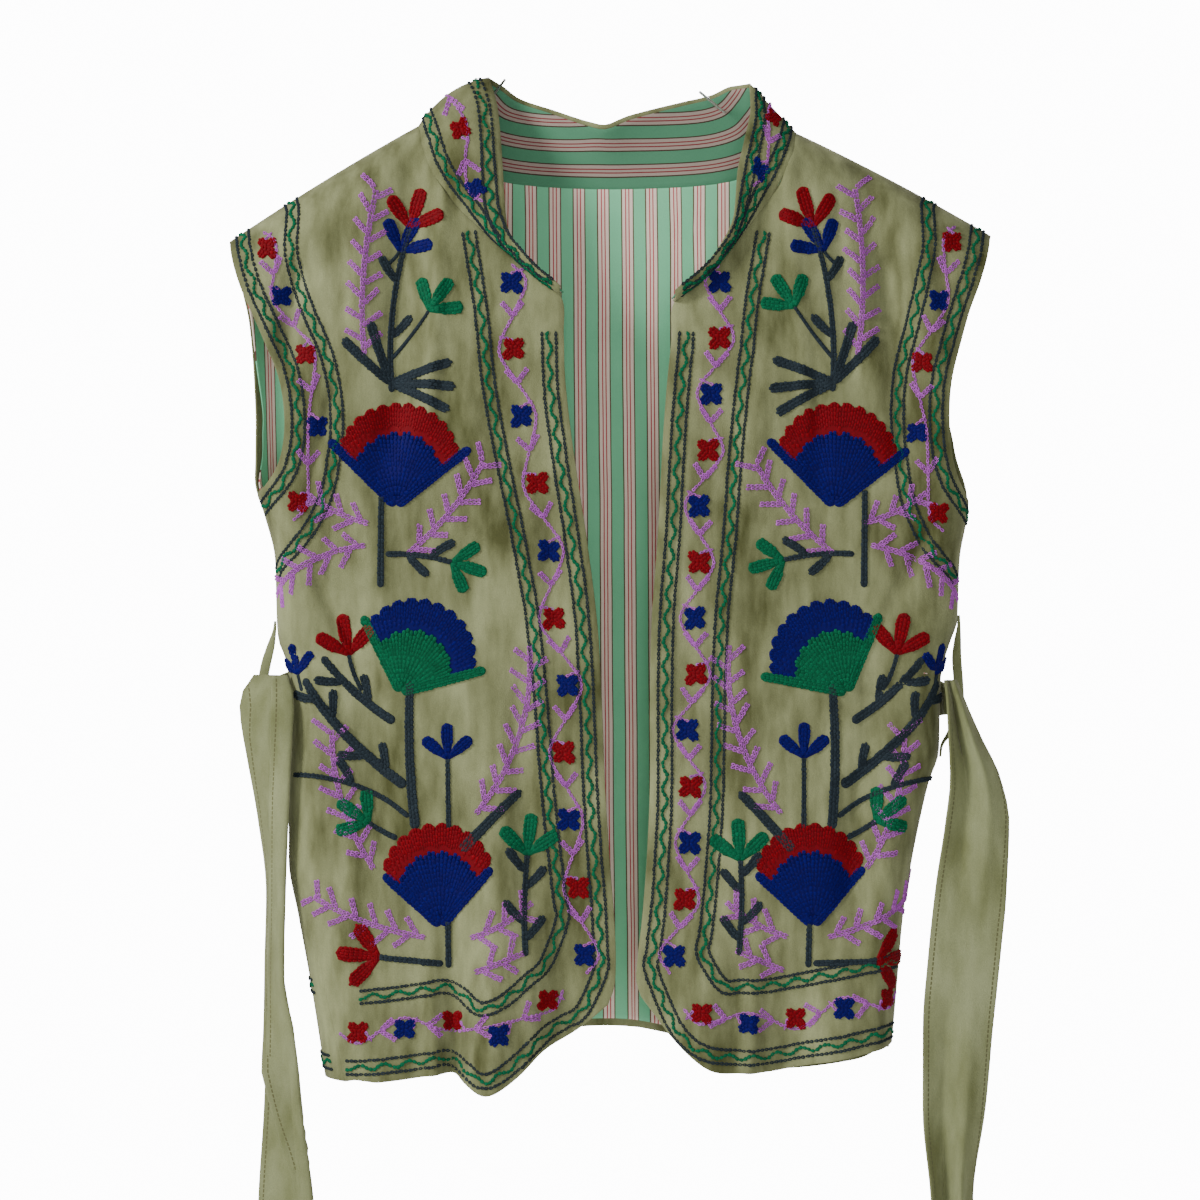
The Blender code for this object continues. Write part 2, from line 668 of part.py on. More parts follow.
def make_lining(name, points, normals, places, material):
    near = VELVET_WALL + LINING_GAP
    far = near + LINING_WALL
    outer = sample(points - normals * near, places)
    inner = sample(points - normals * far, places)
    vertices, faces = wall_mesh(outer, inner)
    return make_object(name, vertices, faces, material)


def front_places(points, rows):
    """A front lining's borders: drawn in at the neck, front edge, hem and armhole."""
    top = [0.0] * points.shape[1]
    first = [LINING_INSET if row.outer is not SEAM else 0.0 for row in rows]
    last = [LINING_INSET] * len(rows)
    return inset_places(points, top, LINING_INSET, first, last)


def back_places(points):
    """The back lining's borders: drawn in at the hem and armholes, sewn at the neck."""
    top = [0.0] * points.shape[1]
    first = [LINING_INSET if row.right is not SEAM else 0.0 for row in BACK]
    last = [LINING_INSET if row.left is not SEAM else 0.0 for row in BACK]
    first[:SHOULDER_ROWS] = [SHOULDER_INSET] * SHOULDER_ROWS
    last[:SHOULDER_ROWS] = [SHOULDER_INSET] * SHOULDER_ROWS
    return inset_places(points, top, LINING_INSET, first, last)


def neckline(right, back, left):
    """Neckline points, normals and inward neighbours, from the right end to the left end."""
    neck_rows = 7
    neck_columns = [k for k, point in enumerate(BACK_TOP) if point.height is not SHOULDER]
    ring = []
    for i in range(neck_rows - 1, 0, -1):
        ring.append((right[0][i, -1], right[1][i, -1], right[0][i, -2]))
    start, end = neck_columns[0] - 1, neck_columns[-1] + 1
    corner = (right[0][0, -1] + back[0][0, start]) / 2
    ring.append((corner, unit(right[1][0, -1] + back[1][0, start]), right[0][0, -2]))
    for j in neck_columns:
        ring.append((back[0][0, j], back[1][0, j], back[0][1, j]))
    corner = (left[0][0, -1] + back[0][0, end]) / 2
    ring.append((corner, unit(left[1][0, -1] + back[1][0, end]), left[0][0, -2]))
    for i in range(1, neck_rows):
        ring.append((left[0][i, -1], left[1][i, -1], left[0][i, -2]))
    return ring


def collar_grids(ring):
    """Collar points and normals: rows from the neck seam to the top edge."""
    edge = np.array([point for point, _, _ in ring])
    seam_normals = np.array([normal for _, normal, _ in ring])
    inward = np.array([neighbour for _, _, neighbour in ring])
    foot = np.empty_like(edge)
    for k in range(len(edge)):
        tangent = unit(edge[min(k + 1, len(edge) - 1)] - edge[max(k - 1, 0)])
        away = unit(np.cross(tangent, seam_normals[k]))
        if np.dot(away, edge[k] - inward[k]) < 0:
            away = -away
        foot[k] = edge[k] + away * SEAM_GAP
    lengths = np.concatenate([[0], np.cumsum(np.linalg.norm(np.diff(foot, axis=0), axis=1))])
    along = lengths / lengths[-1]
    keys = column(COLLAR_TOP, "along")
    tops = [column(COLLAR_TOP, name) for name in ("x", "y", "z")]
    top = np.array([[curve_at(keys, values, a) for values in tops] for a in along])
    base = np.array([foot * (1 - rise) + top * rise for rise in COLLAR_ROWS])
    normals = grid_normals(base)
    bulges = np.array([curve_at(keys, column(COLLAR_TOP, "bulge"), a) for a in along])
    for i, rise in enumerate(COLLAR_ROWS):
        base[i] += normals[i] * bulges[:, None] * 4 * rise * (1 - rise)
    normals = grid_normals(base)
    normals[0] = seam_normals
    return base, normals


def grid_normals(grid):
    """Normals of a collar grid, pointing away from the neck."""
    down = np.gradient(grid, axis=0)
    over = np.gradient(grid, axis=1)
    crossed = np.cross(down, over)
    return crossed / np.linalg.norm(crossed, axis=2, keepdims=True)


def collar_places(points):
    """The collar lining's borders: sewn at the neck, drawn in at the top and ends."""
    columns = points.shape[1]
    top = [0.0] * columns
    heights = np.linalg.norm(points[-1] - points[0], axis=1)
    places = inset_places(points, top, 0.0, [0.0] * len(points), [0.0] * len(points))
    rows = len(points)
    for j in range(columns):
        share = min(COLLAR_INSET, 0.3 * heights[j]) / np.linalg.norm(points[-1, j] - points[-2, j])
        places[-1, j, 0] = rows - 1 - min(share, 0.9)
    return places


def dense_rows(rows, step):
    """Table rows at an even spacing of heights, from smooth curves through the table."""
    heights = column(rows, "height")
    count = max(int(round((heights[0] - heights[-1]) / step)), 1)
    kind = type(rows[0])
    result = []
    for k in range(count + 1):
        height = heights[0] + (heights[-1] - heights[0]) * k / count
        result.append(kind(*[curve_at(heights, column(rows, name), height) for name in kind._fields]))
    return result


def right_tail_line(row):
    """Middle line of the folded tail at one height, from the flap's edge to the far edge."""
    back = (SASH_WIDTH - row.flap) * (1 - row.gather)
    reach = min(row.fold - row.far, back)
    flap_deep = math.sqrt(max(row.flap ** 2 - (row.fold - row.edge) ** 2, 0.0))
    back_deep = math.sqrt(back ** 2 - reach ** 2)
    fold = np.array([row.fold, row.fold_y])
    edge = fold + np.array([row.edge - row.fold, flap_deep])
    far = fold + np.array([-reach, back_deep])
    apart = 2.4
    to_edge, to_far = unit(edge - fold), unit(far - fold)
    front = np.array([0.0, -apart])
    return [edge + front, (edge + fold) / 2 + front, fold + to_edge * 2.5 + front,
            fold + front / 2 + np.array([1.2, 0]), fold + to_far * 2.5, fold + to_far * back / 2, far]


def left_tail_line(row):
    """Middle line of the gathered tail at one height: three panels, folded back and forth."""
    panel = SASH_WIDTH / 3 * (1 - row.gather)
    step = (row.outer - row.inner) / 3
    deep = math.sqrt(max(panel ** 2 - step ** 2, 0.0))
    line = []
    for k in range(7):
        crease = k / 2
        swing = abs((crease + 1) % 2 - 1)
        line.append(np.array([row.inner + step * crease, row.front_y + deep * swing]))
    return line


def ribbon(name, rows, line_of, material):
    """A hanging band of cloth from its middle lines at successive heights."""
    middle = []
    for row in rows:
        middle.append([np.array([p[0], p[1], row.height]) for p in line_of(row)])
    middle = np.array(middle)
    over = np.gradient(middle, axis=1)
    down = np.gradient(middle, axis=0)
    normals = np.cross(over, down)
    normals /= np.linalg.norm(normals, axis=2, keepdims=True)
    vertices, faces = wall_mesh(middle + normals * SASH_WALL / 2, middle - normals * SASH_WALL / 2)
    return make_object(name, vertices, faces, material)


def sash_run(name, material):
    """The sash across the back: an upright band that bunches towards both loops."""
    centres = np.array([[row.x, row.y, row.z] for row in SASH_RUN])
    sections = []
    for k, row in enumerate(SASH_RUN):
        ahead = centres[min(k + 1, len(centres) - 1)] - centres[max(k - 1, 0)]
        out = unit(np.array([-ahead[1], ahead[0], 0.0]))
        up = np.array([0.0, 0.0, 1.0])
        ring = []
        for across, high in ((-1, -.7), (-1, 0), (-1, .7), (-.3, 1), (.3, 1),
                             (1, .7), (1, 0), (1, -.7), (.3, -1), (-.3, -1)):
            ring.append(centres[k] + out * across * row.thick / 2 + up * high * row.tall / 2)
        sections.append(ring)
    vertices, faces = tube_mesh(sections)
    return make_object(name, vertices, faces, material)


def belt_loop(name, points, material):
    """A flat loop of velvet facing the viewer, its two ends along the side seam."""
    centres = np.array([[point.x, LOOP_Y, point.z] for point in points])
    sections = []
    for k, point in enumerate(points):
        ahead = unit(centres[min(k + 1, len(centres) - 1)] - centres[max(k - 1, 0)])
        out = np.array([-ahead[2], 0.0, ahead[0]])
        depth = np.array([0.0, 1.0, 0.0])
        ring = []
        for wide, deep in ((-1, -.6), (-.7, -1), (.7, -1), (1, -.6), (1, .6), (.7, 1), (-.7, 1), (-1, .6)):
            ring.append(centres[k] + out * wide * point.wide / 2 + depth * deep * LOOP_WALL / 2)
        sections.append(ring)
    vertices, faces = tube_mesh(sections)
    return make_object(name, vertices, faces, material)


def rod_sections(start, end, radius, sides):
    start, end = np.array(start, float), np.array(end, float)
    along = unit(end - start)
    side = unit(np.cross(along, np.array([0.0, 0.0, 1.0])))
    up = np.cross(side, along)
    sections = []
    for centre in (start, end):
        ring = []
        for k in range(sides):
            turn = 2 * math.pi * k / sides
            ring.append(centre + radius * (math.cos(turn) * side + math.sin(turn) * up))
        sections.append(ring)
    return sections


def make_pin(pin, material):
    vertices, faces = tube_mesh(rod_sections(pin.wall, pin.free, PIN_RADIUS, 12))
    return make_object(pin.name, vertices, faces, material)


def pierce(solid, pin, material):
    """Opens a small hole for a pin through a piece of the collar."""
    start = np.array(pin.wall, float)
    end = np.array(pin.free, float)
    reach = (end - start) * 0.2
    vertices, faces = tube_mesh(rod_sections(start - reach, end + reach, PIN_HOLE, 12))
    cutter = make_object(solid.name + "_hole_" + pin.name, vertices, faces, material)
    cutter.hide_render = True
    cutter.display_type = "WIRE"
    cut = solid.modifiers.new("Hole for " + pin.name, "BOOLEAN")
    cut.operation = "DIFFERENCE"
    cut.object = cutter


def clear_scene():
    for old in list(bpy.data.objects):
        bpy.data.objects.remove(old, do_unlink=True)


def main():
    clear_scene()
    velvet = make_material("sage velvet", (0.30, 0.31, 0.18), 0.9)
    sash_velvet = make_material("plain velvet", (0.29, 0.30, 0.18), 0.9)
    cotton = make_material("striped cotton", (0.22, 0.48, 0.33), 0.85)
    steel = make_material("steel", (0.55, 0.55, 0.56), 0.3, 1.0)

    def hang_right(across, height):
        return hang_front(across, height, -1)

    def hang_left(across, height):
        return hang_front(across, height, 1)

    right_points, right_normals = hung_grid(front_cut(-1), hang_right, 1)
    left_points, left_normals = hung_grid(front_cut(1), hang_left, -1)
    back_points, back_normals = hung_grid(back_cut(), hang_back, 1)

    make_velvet("front_right", right_points, right_normals, velvet)
    make_velvet("front_left", left_points, left_normals, velvet)
    make_velvet("back", back_points, back_normals, velvet)
    make_lining("lining_right", right_points, right_normals,
                front_places(right_points, FRONT_RIGHT), cotton)
    make_lining("lining_left", left_points, left_normals,
                front_places(left_points, FRONT_LEFT), cotton)
    make_lining("lining_back", back_points, back_normals, back_places(back_points), cotton)

    ring = neckline((right_points, right_normals), (back_points, back_normals),
                    (left_points, left_normals))
    collar_points, collar_normals = collar_grids(ring)
    collar = make_velvet("collar", collar_points, collar_normals, velvet)
    collar_lining = make_lining("lining_collar", collar_points, collar_normals,
                                collar_places(collar_points), cotton)

    sash_run("belt_back", sash_velvet)
    ribbon("belt_tail_right", dense_rows(TAIL_RIGHT, TAIL_STEP), right_tail_line, sash_velvet)
    ribbon("belt_tail_left", dense_rows(TAIL_LEFT, TAIL_STEP), left_tail_line, sash_velvet)
    belt_loop("belt_loop_right", LOOP_RIGHT, sash_velvet)
    belt_loop("belt_loop_left", LOOP_LEFT, sash_velvet)

    for pin in PINS:
        make_pin(pin, steel)
        pierce(collar, pin, steel)
        pierce(collar_lining, pin, steel)


main()
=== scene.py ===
import json
import math

import bpy
import numpy as np
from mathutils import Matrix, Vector

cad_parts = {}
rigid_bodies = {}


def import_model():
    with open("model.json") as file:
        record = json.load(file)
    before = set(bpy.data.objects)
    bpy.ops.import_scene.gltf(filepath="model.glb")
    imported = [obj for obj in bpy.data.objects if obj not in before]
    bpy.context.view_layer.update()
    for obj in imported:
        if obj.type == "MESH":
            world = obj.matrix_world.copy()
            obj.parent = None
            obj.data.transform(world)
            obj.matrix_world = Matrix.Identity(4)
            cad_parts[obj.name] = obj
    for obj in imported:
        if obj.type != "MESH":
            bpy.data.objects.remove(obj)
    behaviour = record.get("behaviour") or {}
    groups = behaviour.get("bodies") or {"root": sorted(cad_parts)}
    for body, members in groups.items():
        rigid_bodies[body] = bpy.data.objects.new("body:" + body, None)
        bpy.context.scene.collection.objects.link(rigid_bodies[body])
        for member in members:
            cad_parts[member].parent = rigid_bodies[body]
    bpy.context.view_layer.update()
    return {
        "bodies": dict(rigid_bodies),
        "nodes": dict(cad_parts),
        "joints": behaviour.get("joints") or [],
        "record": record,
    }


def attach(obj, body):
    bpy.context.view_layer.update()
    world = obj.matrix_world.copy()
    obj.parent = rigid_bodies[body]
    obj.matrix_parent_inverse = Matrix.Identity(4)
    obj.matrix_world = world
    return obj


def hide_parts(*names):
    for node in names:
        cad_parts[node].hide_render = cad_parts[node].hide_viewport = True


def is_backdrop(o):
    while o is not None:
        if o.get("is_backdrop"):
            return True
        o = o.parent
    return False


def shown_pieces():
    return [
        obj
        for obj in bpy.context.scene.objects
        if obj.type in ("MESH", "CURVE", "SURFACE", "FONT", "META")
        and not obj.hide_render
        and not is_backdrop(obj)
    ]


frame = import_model()
metre = 0.001

# Camera: level, in front of the chest, framing the waistcoat and the top of the sash.
cameraData = bpy.data.cameras.new("camera")
cameraData.sensor_width = 36
cameraData.lens = 90.9
camera = bpy.data.objects.new("camera", cameraData)
camera.location = (-0.006, -2.04, -0.336)
camera.rotation_euler = (math.radians(90), 0, 0)
bpy.context.scene.collection.objects.link(camera)
bpy.context.scene.camera = camera
print("camera")


def curveOf(keys, values):
    # A smooth curve through the rows of a table, never overshooting them.
    keys = np.asarray(keys, float)
    values = np.asarray(values, float)
    order = np.argsort(keys)
    keys, values = keys[order], values[order]
    steps = np.diff(keys)
    slopes = np.diff(values) / steps
    tangents = np.empty(len(keys))
    tangents[0], tangents[-1] = slopes[0], slopes[-1]
    before, after = slopes[:-1], slopes[1:]
    both = before + after
    safe = np.where(np.abs(both) < 1e-9, 1.0, both)
    tangents[1:-1] = np.where(before * after > 0, 2 * before * after / safe, 0.0)

    def at(key):
        key = np.clip(key, keys[0], keys[-1])
        i = np.clip(np.searchsorted(keys, key) - 1, 0, len(steps) - 1)
        h = steps[i]
        t = (key - keys[i]) / h
        start = (2 * t ** 3 - 3 * t ** 2 + 1) * values[i] + (t ** 3 - 2 * t ** 2 + t) * h * tangents[i]
        end = (3 * t ** 2 - 2 * t ** 3) * values[i + 1] + (t ** 3 - t ** 2) * h * tangents[i + 1]
        return start + end

    return at


def smoothStep(value):
    value = np.clip(value, 0.0, 1.0)
    return value * value * (3 - 2 * value)


def refine(grid, times, axis=0):
    # Rounds a grid along one axis: a Catmull-Rom curve with several points to a step.
    grid = np.moveaxis(np.asarray(grid, float), axis, 0)
    first = 2 * grid[0] - grid[1]
    last = 2 * grid[-1] - grid[-2]
    padded = np.concatenate([first[None], grid, last[None]])
    out = []
    for i in range(len(grid) - 1):
        p0, p1, p2, p3 = padded[i:i + 4]
        for k in range(times):
            t = k / times
            out.append(0.5 * (2 * p1 + (p2 - p0) * t + (2 * p0 - 5 * p1 + 4 * p2 - p3) * t * t
                              + (3 * p1 - p0 - 3 * p2 + p3) * t ** 3))
    out.append(grid[-1])
    return np.moveaxis(np.array(out), 0, axis)


# Height, half width on the wearer's right and left, depth of the front and the back.
torso = [
    (20, 286, 286, -52, -11), (-100, 280, 280, -55, -10), (-150, 246, 247, -58, -9.5),
    (-200, 240, 241, -60, -9.5), (-255, 236, 239, -61, -9.5), (-280, 228, 237, -60, -9.5),
    (-310, 221, 232, -59, -9.5), (-350, 220, 230.5, -57, -9.5), (-362, 219, 226.5, -57, -9.5),
    (-376, 214, 222, -56, -9.5), (-390, 212, 219.5, -56, -9.5), (-435, 211, 218.5, -57, -9.5),
    (-457, 211.5, 211.5, -58, -9.5), (-480, 212, 206, -59, -9.5), (-507, 212, 200.5, -60, -9.5),
    (-544, 205.5, 194.5, -62, -9.5), (-587, 197.5, 190.5, -64, -10), (-650, 187.5, 185, -66, -11),
    (-690, 182, 182, -67, -11),
]
torsoHeights = [row[0] for row in torso]
torsoCurves = [curveOf(torsoHeights, [row[k] for row in torso]) for k in range(1, 5)]
# Height, angle of the side seam round the wearer's right and left side.
sideSeam = [(-250, 90, 95), (-430, 88, 98), (-480, 72, 100), (-510, 56, 100), (-553, 46, 99),
            (-587, 37, 97), (-650, 27, 94)]
seamCurves = [curveOf([row[0] for row in sideSeam], [row[k] for row in sideSeam]) for k in (1, 2)]

seam = None
# Outer point, its height, front edge point, its height.
rightRows = [
    (252, -98.5, 126, -21), (248, -113, 124, -36), (239, -138, 116, -56), (227, -164, 100, -78),
    (216, -190, 79, -98), (212, -220, 55, -118), (216, -246, 32, -137), (228, -262, 30, -163),
    (seam, -271, 29, -192), (seam, -296, 24, -236), (seam, -334, 15, -296), (seam, -376, 8, -352),
    (seam, -420, 5, -405), (seam, -466, 3, -458), (seam, -512, 0, -505), (seam, -556, -3, -545),
    (seam, -592, -4, -572), (seam, -624, -3, -589), (seam, -650, 1, -601),
]
leftRows = [
    (253.5, -94.5, 124, -26), (249, -110, 122, -40), (241, -134, 115, -57), (232, -163, 104, -75),
    (224, -194, 87, -97), (223, -226, 65, -122), (228, -252, 43, -141), (240, -268, 41, -166),
    (seam, -276, 38, -196), (seam, -300, 35, -238), (seam, -337, 32, -296), (seam, -377, 28, -352),
    (seam, -418, 27, -405), (seam, -462, 27, -457), (seam, -506, 25, -503), (seam, -546, 22, -542),
    (seam, -578, 19, -568), (seam, -606, 18, -584), (seam, -628, 21, -595),
]
frontColumns = [0, .04, .08, .12, .17, .24, .32, .38, .42, .46, .54, .64, .76, .88, 1]
rightHem = [(240, -648), (172, -651), (126, -646.5), (103, -643.5), (93, -651), (84, -657), (74, -655),
            (58, -644), (42, -629), (20, -616), (1, -600)]
leftHem = [(240, -628), (186, -629), (142, -636.5), (94, -644), (70, -642.5), (52, -634.5),
           (39, -618), (21, -595)]
backRows = [
    (252, -98.5, 253.5, -94.5), (250, -110, 250, -105), (248, -124, 243.5, -121), (244, -147, 235.5, -146),
    (241, -180, 226, -180), (240, -215, 227.5, -216), (240.6, -231, 230.8, -232), (242, -247, 235.5, -249),
    (seam, -271, seam, -276), (seam, -296, seam, -300), (seam, -334, seam, -337), (seam, -376, seam, -377),
    (seam, -420, seam, -418), (seam, -466, seam, -462), (seam, -512, seam, -506), (seam, -556, seam, -546),
    (seam, -592, seam, -578), (seam, -624, seam, -606), (seam, -650, seam, -628),
]
shoulder = None
backTop = [
    (-252, shoulder), (-243, shoulder), (-233, shoulder), (-221, shoulder), (-206, shoulder),
    (-170, shoulder), (-126, shoulder), (-113, -36), (-97, -49), (-66, -57.5), (-22, -61), (24, -61),
    (72, -58), (100, -50), (113, -40), (124, shoulder), (168, shoulder), (207, shoulder),
    (222, shoulder), (234, shoulder), (244, shoulder), (253.5, shoulder),
]
backHem = [(-240, -650), (-150, -648), (-80, -636), (-30, -622), (20, -620), (55, -632), (90, -650),
           (150, -645), (240, -628)]
# Folds and creases: place and height at the top, then at the end, width, depth at the top and end.
rightFolds = [
    (128, -40, 142, -215, 12, -3, -5), (204, -125, 211, -176, 9, -4, -4), (76, -450, 74, -700, 26, 0, 17),
    (100, -530, 100, -700, 7, 0, -9), (140, -470, 138, -700, 24, 0, 6), (26, -520, 20, -700, 16, 0, -8),
    (206, -372, 150, -402, 13, -3, -1), (180, -290, 150, -470, 18, -2, -3),
]
leftFolds = [
    (166, -48, 184, -140, 13, -4, -5), (184, -130, 194, -236, 12, -5, -3),
    (172, -398, 160, -520, 13, -2, -5),
    (66, -500, 62, -700, 20, 0, 8), (120, -560, 118, -700, 15, 0, -6), (150, -540, 152, -700, 16, 0, 7),
    (30, -540, 30, -700, 12, 0, -5), (206, -385, 148, -410, 13, -3, -1),
]
backFolds = [
    (-165, -150, -150, -640, 26, 1, 4), (-95, -230, -88, -700, 24, -1, -3), (-20, -200, -24, -700, 28, 1, 5),
    (60, -260, 66, -700, 22, -1, -3), (140, -180, 132, -700, 30, 1, 5),
]
# Smaller creases, only as deep as a fold in soft velvet.
rightCreases = [
    (108, -60, 116, -190, 5, 1.2, 2.4), (160, -70, 166, -150, 6, 2, 1.2),
    (182, -205, 196, -262, 4.5, -2.4, -1.2),
    (92, -215, 60, -330, 9, 1.8, 0.8), (188, -330, 168, -368, 5, -2.8, -1.4),
    (196, -400, 160, -436, 6, 2.4, 1.2),
    (60, -400, 52, -520, 8, -1.8, -2.6), (168, -500, 172, -640, 9, 1.4, 3.2),
    (118, -560, 112, -655, 6, 0.8, 4.4),
    (48, -560, 52, -640, 6, 1.2, 3.2), (150, -250, 128, -330, 10, -1.6, -1),
    (38, -300, 34, -420, 7, -1.6, -1.4),
]
leftCreases = [
    (118, -60, 128, -200, 5, 1.6, 2), (150, -80, 158, -180, 6, -2, -1.6), (206, -110, 214, -170, 6, 2, 1.6),
    (100, -200, 78, -330, 9, 1.8, 1), (204, -300, 180, -352, 6, -2.8, -1.2),
    (196, -418, 150, -452, 6, 2.4, 1),
    (76, -380, 70, -520, 8, -1.6, -2.4), (180, -500, 176, -620, 9, 1.2, 3), (96, -560, 92, -650, 6, 1, 3.6),
    (134, -200, 140, -300, 8, -1.6, -1), (50, -300, 48, -430, 7, -1.4, -1.4),
]
backCreases = [
    (-190, -300, -110, -372, 8, -1.6, -0.8), (186, -300, 112, -368, 8, -1.6, -0.8),
    (-200, -430, -130, -470, 9, 1.2, 0.6),
    (196, -430, 130, -474, 9, 1.2, 0.6), (-60, -90, -52, -200, 9, 1.2, 0.6),
    (52, -92, 60, -210, 9, -1.2, -0.6),
    (-120, -560, -116, -650, 8, 1, 2.6), (20, -560, 22, -650, 8, -1, -2.4),
    (100, -560, 104, -650, 9, 1, 2.4),
]
foldFade = 26
shoulderRise = 2.0
shoulderDepth = -28.0
frontDrop, backDrop = 42.0, 30.0
frontRoll = math.pi / 2 * math.sqrt((frontDrop ** 2 + 27.0 ** 2) / 2)
backRoll = math.pi / 2 * math.sqrt((backDrop ** 2 + 18.0 ** 2) / 2)
hemBlend = 110.0
seamGap = 0.3
velvetWall, liningGap, liningWall, sashWall = 1.5, 0.6, 1.0, 1.8


def torsoAt(height, side):
    half = torsoCurves[1 if side > 0 else 0](height)
    frontY, backY = torsoCurves[2](height), torsoCurves[3](height)
    return half, frontY, backY, (backY - frontY) / 2


def shoulderHeight(across, side):
    tip, tipHeight, neck, neckHeight = (leftRows if side > 0 else rightRows)[0]
    share = (across - neck) / (tip - neck)
    inside = np.clip(share, 0, 1)
    return neckHeight + share * (tipHeight - neckHeight) + 4 * shoulderRise * inside * (1 - inside)


def foldDepth(folds, across, height):
    total = 0.0
    for acrossTop, top, acrossEnd, end, width, depthTop, depthEnd in folds:
        share = (height - top) / (end - top)
        middle = acrossTop + share * (acrossEnd - acrossTop)
        depth = depthTop + np.clip(share, 0, 1) * (depthEnd - depthTop)
        fade = smoothStep((share + 0.3) / 0.3) * smoothStep((1.3 - share) / 0.3)
        total = total + depth * fade * np.exp(-((across - middle) / width) ** 2)
    return 1.3 * total


def seamAcross(height, side, fromFront):
    half, _, _, radius = torsoAt(height, side)
    angle = np.radians(seamCurves[1 if side > 0 else 0](height))
    angle = angle if fromFront else math.pi - angle
    return half - radius + radius * angle - seamGap / 2


def roundSide(across, half, radius):
    start = half - radius
    angle = np.maximum(across - start, 0) / radius
    x = np.where(across <= start, across, start + radius * np.sin(angle))
    return x, radius * (1 - np.cos(angle))


def rollOver(below, length, drop):
    angle = math.pi / 2 * np.clip(below / length, 0, 1)
    return angle, drop * (1 - np.cos(angle)) + np.maximum(below - length, 0)


def hangFront(across, height, side):
    half, frontY, _, radius = torsoAt(height, side)
    x, wrapped = roundSide(across, half, radius)
    folds = leftFolds + leftCreases if side > 0 else rightFolds + rightCreases
    ridge = shoulderHeight(across, side)
    angle, lost = rollOver(ridge + frontRoll - frontDrop - height, frontRoll, frontDrop)
    fade = smoothStep((seamAcross(height, side, True) - across) / foldFade)
    full = frontY + wrapped - foldDepth(folds, across, height) * fade
    y = shoulderDepth + (full - shoulderDepth) * np.sin(angle)
    return np.stack([side * x, y, ridge - lost], -1)


def hangBackHalf(x, height, side):
    across = np.abs(x)
    half, _, backY, radius = torsoAt(height, side)
    placed, wrapped = roundSide(across, half, radius)
    ridge = shoulderHeight(across, side)
    angle, lost = rollOver(ridge + backRoll - backDrop - height, backRoll, backDrop)
    fade = smoothStep((seamAcross(height, side, False) - across) / foldFade)
    full = backY - wrapped - foldDepth(backFolds + backCreases, x, height) * fade
    y = shoulderDepth + (full - shoulderDepth) * np.sin(angle)
    return np.stack([side * placed, y, ridge - lost], -1)


def hangBack(x, height):
    left, right = hangBackHalf(x, height, 1), hangBackHalf(x, height, -1)
    return np.where((x > 0)[..., None], left, right)


def surface(hang, outward):
    # Turns a flat point and a lift off the cloth into a place in space.
    def place(across, height, lift=0.0):
        across, height = np.asarray(across, float), np.asarray(height, float)
        point = hang(across, height)
        sideways = hang(across + 0.5, height) - hang(across - 0.5, height)
        downwards = hang(across, height - 0.5) - hang(across, height + 0.5)
        normal = np.cross(sideways, downwards)
        normal *= outward / np.maximum(np.linalg.norm(normal, axis=-1, keepdims=True), 1e-9)
        return point + normal * np.asarray(lift)[..., None], normal

    return place


placeRight = surface(lambda a, h: hangFront(a, h, -1), 1)
placeLeft = surface(lambda a, h: hangFront(a, h, 1), -1)
placeBack = surface(hangBack, 1)


def frontCut(side):
    rows, hem = (leftRows, leftHem) if side > 0 else (rightRows, rightHem)
    hemCurve = curveOf([p[0] for p in hem], [p[1] for p in hem])
    last = rows[-1]
    grid = []
    for number, (outer, outerHeight, edge, edgeHeight) in enumerate(rows):
        if outer is seam:
            outer = float(seamAcross(outerHeight, side, True))
        turn = smoothStep(1 - (outerHeight - last[1]) / hemBlend)
        line = []
        for share in frontColumns:
            across = outer + share * (edge - outer)
            level = outerHeight + share * (edgeHeight - outerHeight)
            hemLevel = last[1] + share * (last[3] - last[1])
            if number == 0:
                level = shoulderHeight(across, side) + frontRoll - frontDrop - seamGap / 2
            line.append((across, level + turn * smoothStep(share / 0.12) * (hemCurve(across) - hemLevel)))
        grid.append(line)
    return np.array(grid, float)


def backCut():
    leftTip = backTop[0][0]
    span = backTop[-1][0] - leftTip
    hemCurve = curveOf([p[0] for p in backHem], [p[1] for p in backHem])
    first, last = backRows[0], backRows[-1]
    grid = []
    for right, rightHeight, left, leftHeight in backRows:
        if right is seam:
            right = float(seamAcross(rightHeight, -1, False))
            left = float(seamAcross(leftHeight, 1, False))
        keepTop = (1 - (first[1] - rightHeight) / (first[1] - last[1])) ** 3
        turn = smoothStep(1 - (rightHeight - last[1]) / hemBlend)
        line = []
        for topX, topHeight in backTop:
            share = (topX - leftTip) / span
            if topHeight is shoulder:
                topHeight = shoulderHeight(abs(topX), 1 if topX > 0 else -1) + backRoll - backDrop - seamGap / 2
            x = -right + share * (left + right)
            height = rightHeight + share * (leftHeight - rightHeight)
            height += keepTop * (topHeight - first[1] - share * (first[3] - first[1]))
            offSeam = smoothStep(share / 0.08) * smoothStep((1 - share) / 0.08)
            height += turn * offSeam * (hemCurve(x) - last[1] - share * (last[3] - last[1]))
            line.append((x, height))
        grid.append(line)
    return np.array(grid, float)


def srgb(red, green, blue):
    def linear(value):
        value = value / 255
        return value / 12.92 if value <= 0.04045 else ((value + 0.055) / 1.055) ** 2.4

    return linear(red), linear(green), linear(blue), 1.0


def newGroup(name, inputs, outputs):
    group = bpy.data.node_groups.new(name, "ShaderNodeTree")
    for label, kind, value in inputs:
        socket = group.interface.new_socket(name=label, in_out="INPUT", socket_type=kind)
        socket.default_value = value
    for label, kind in outputs:
        group.interface.new_socket(name=label, in_out="OUTPUT", socket_type=kind)
    return group, group.nodes.new("NodeGroupInput"), group.nodes.new("NodeGroupOutput")


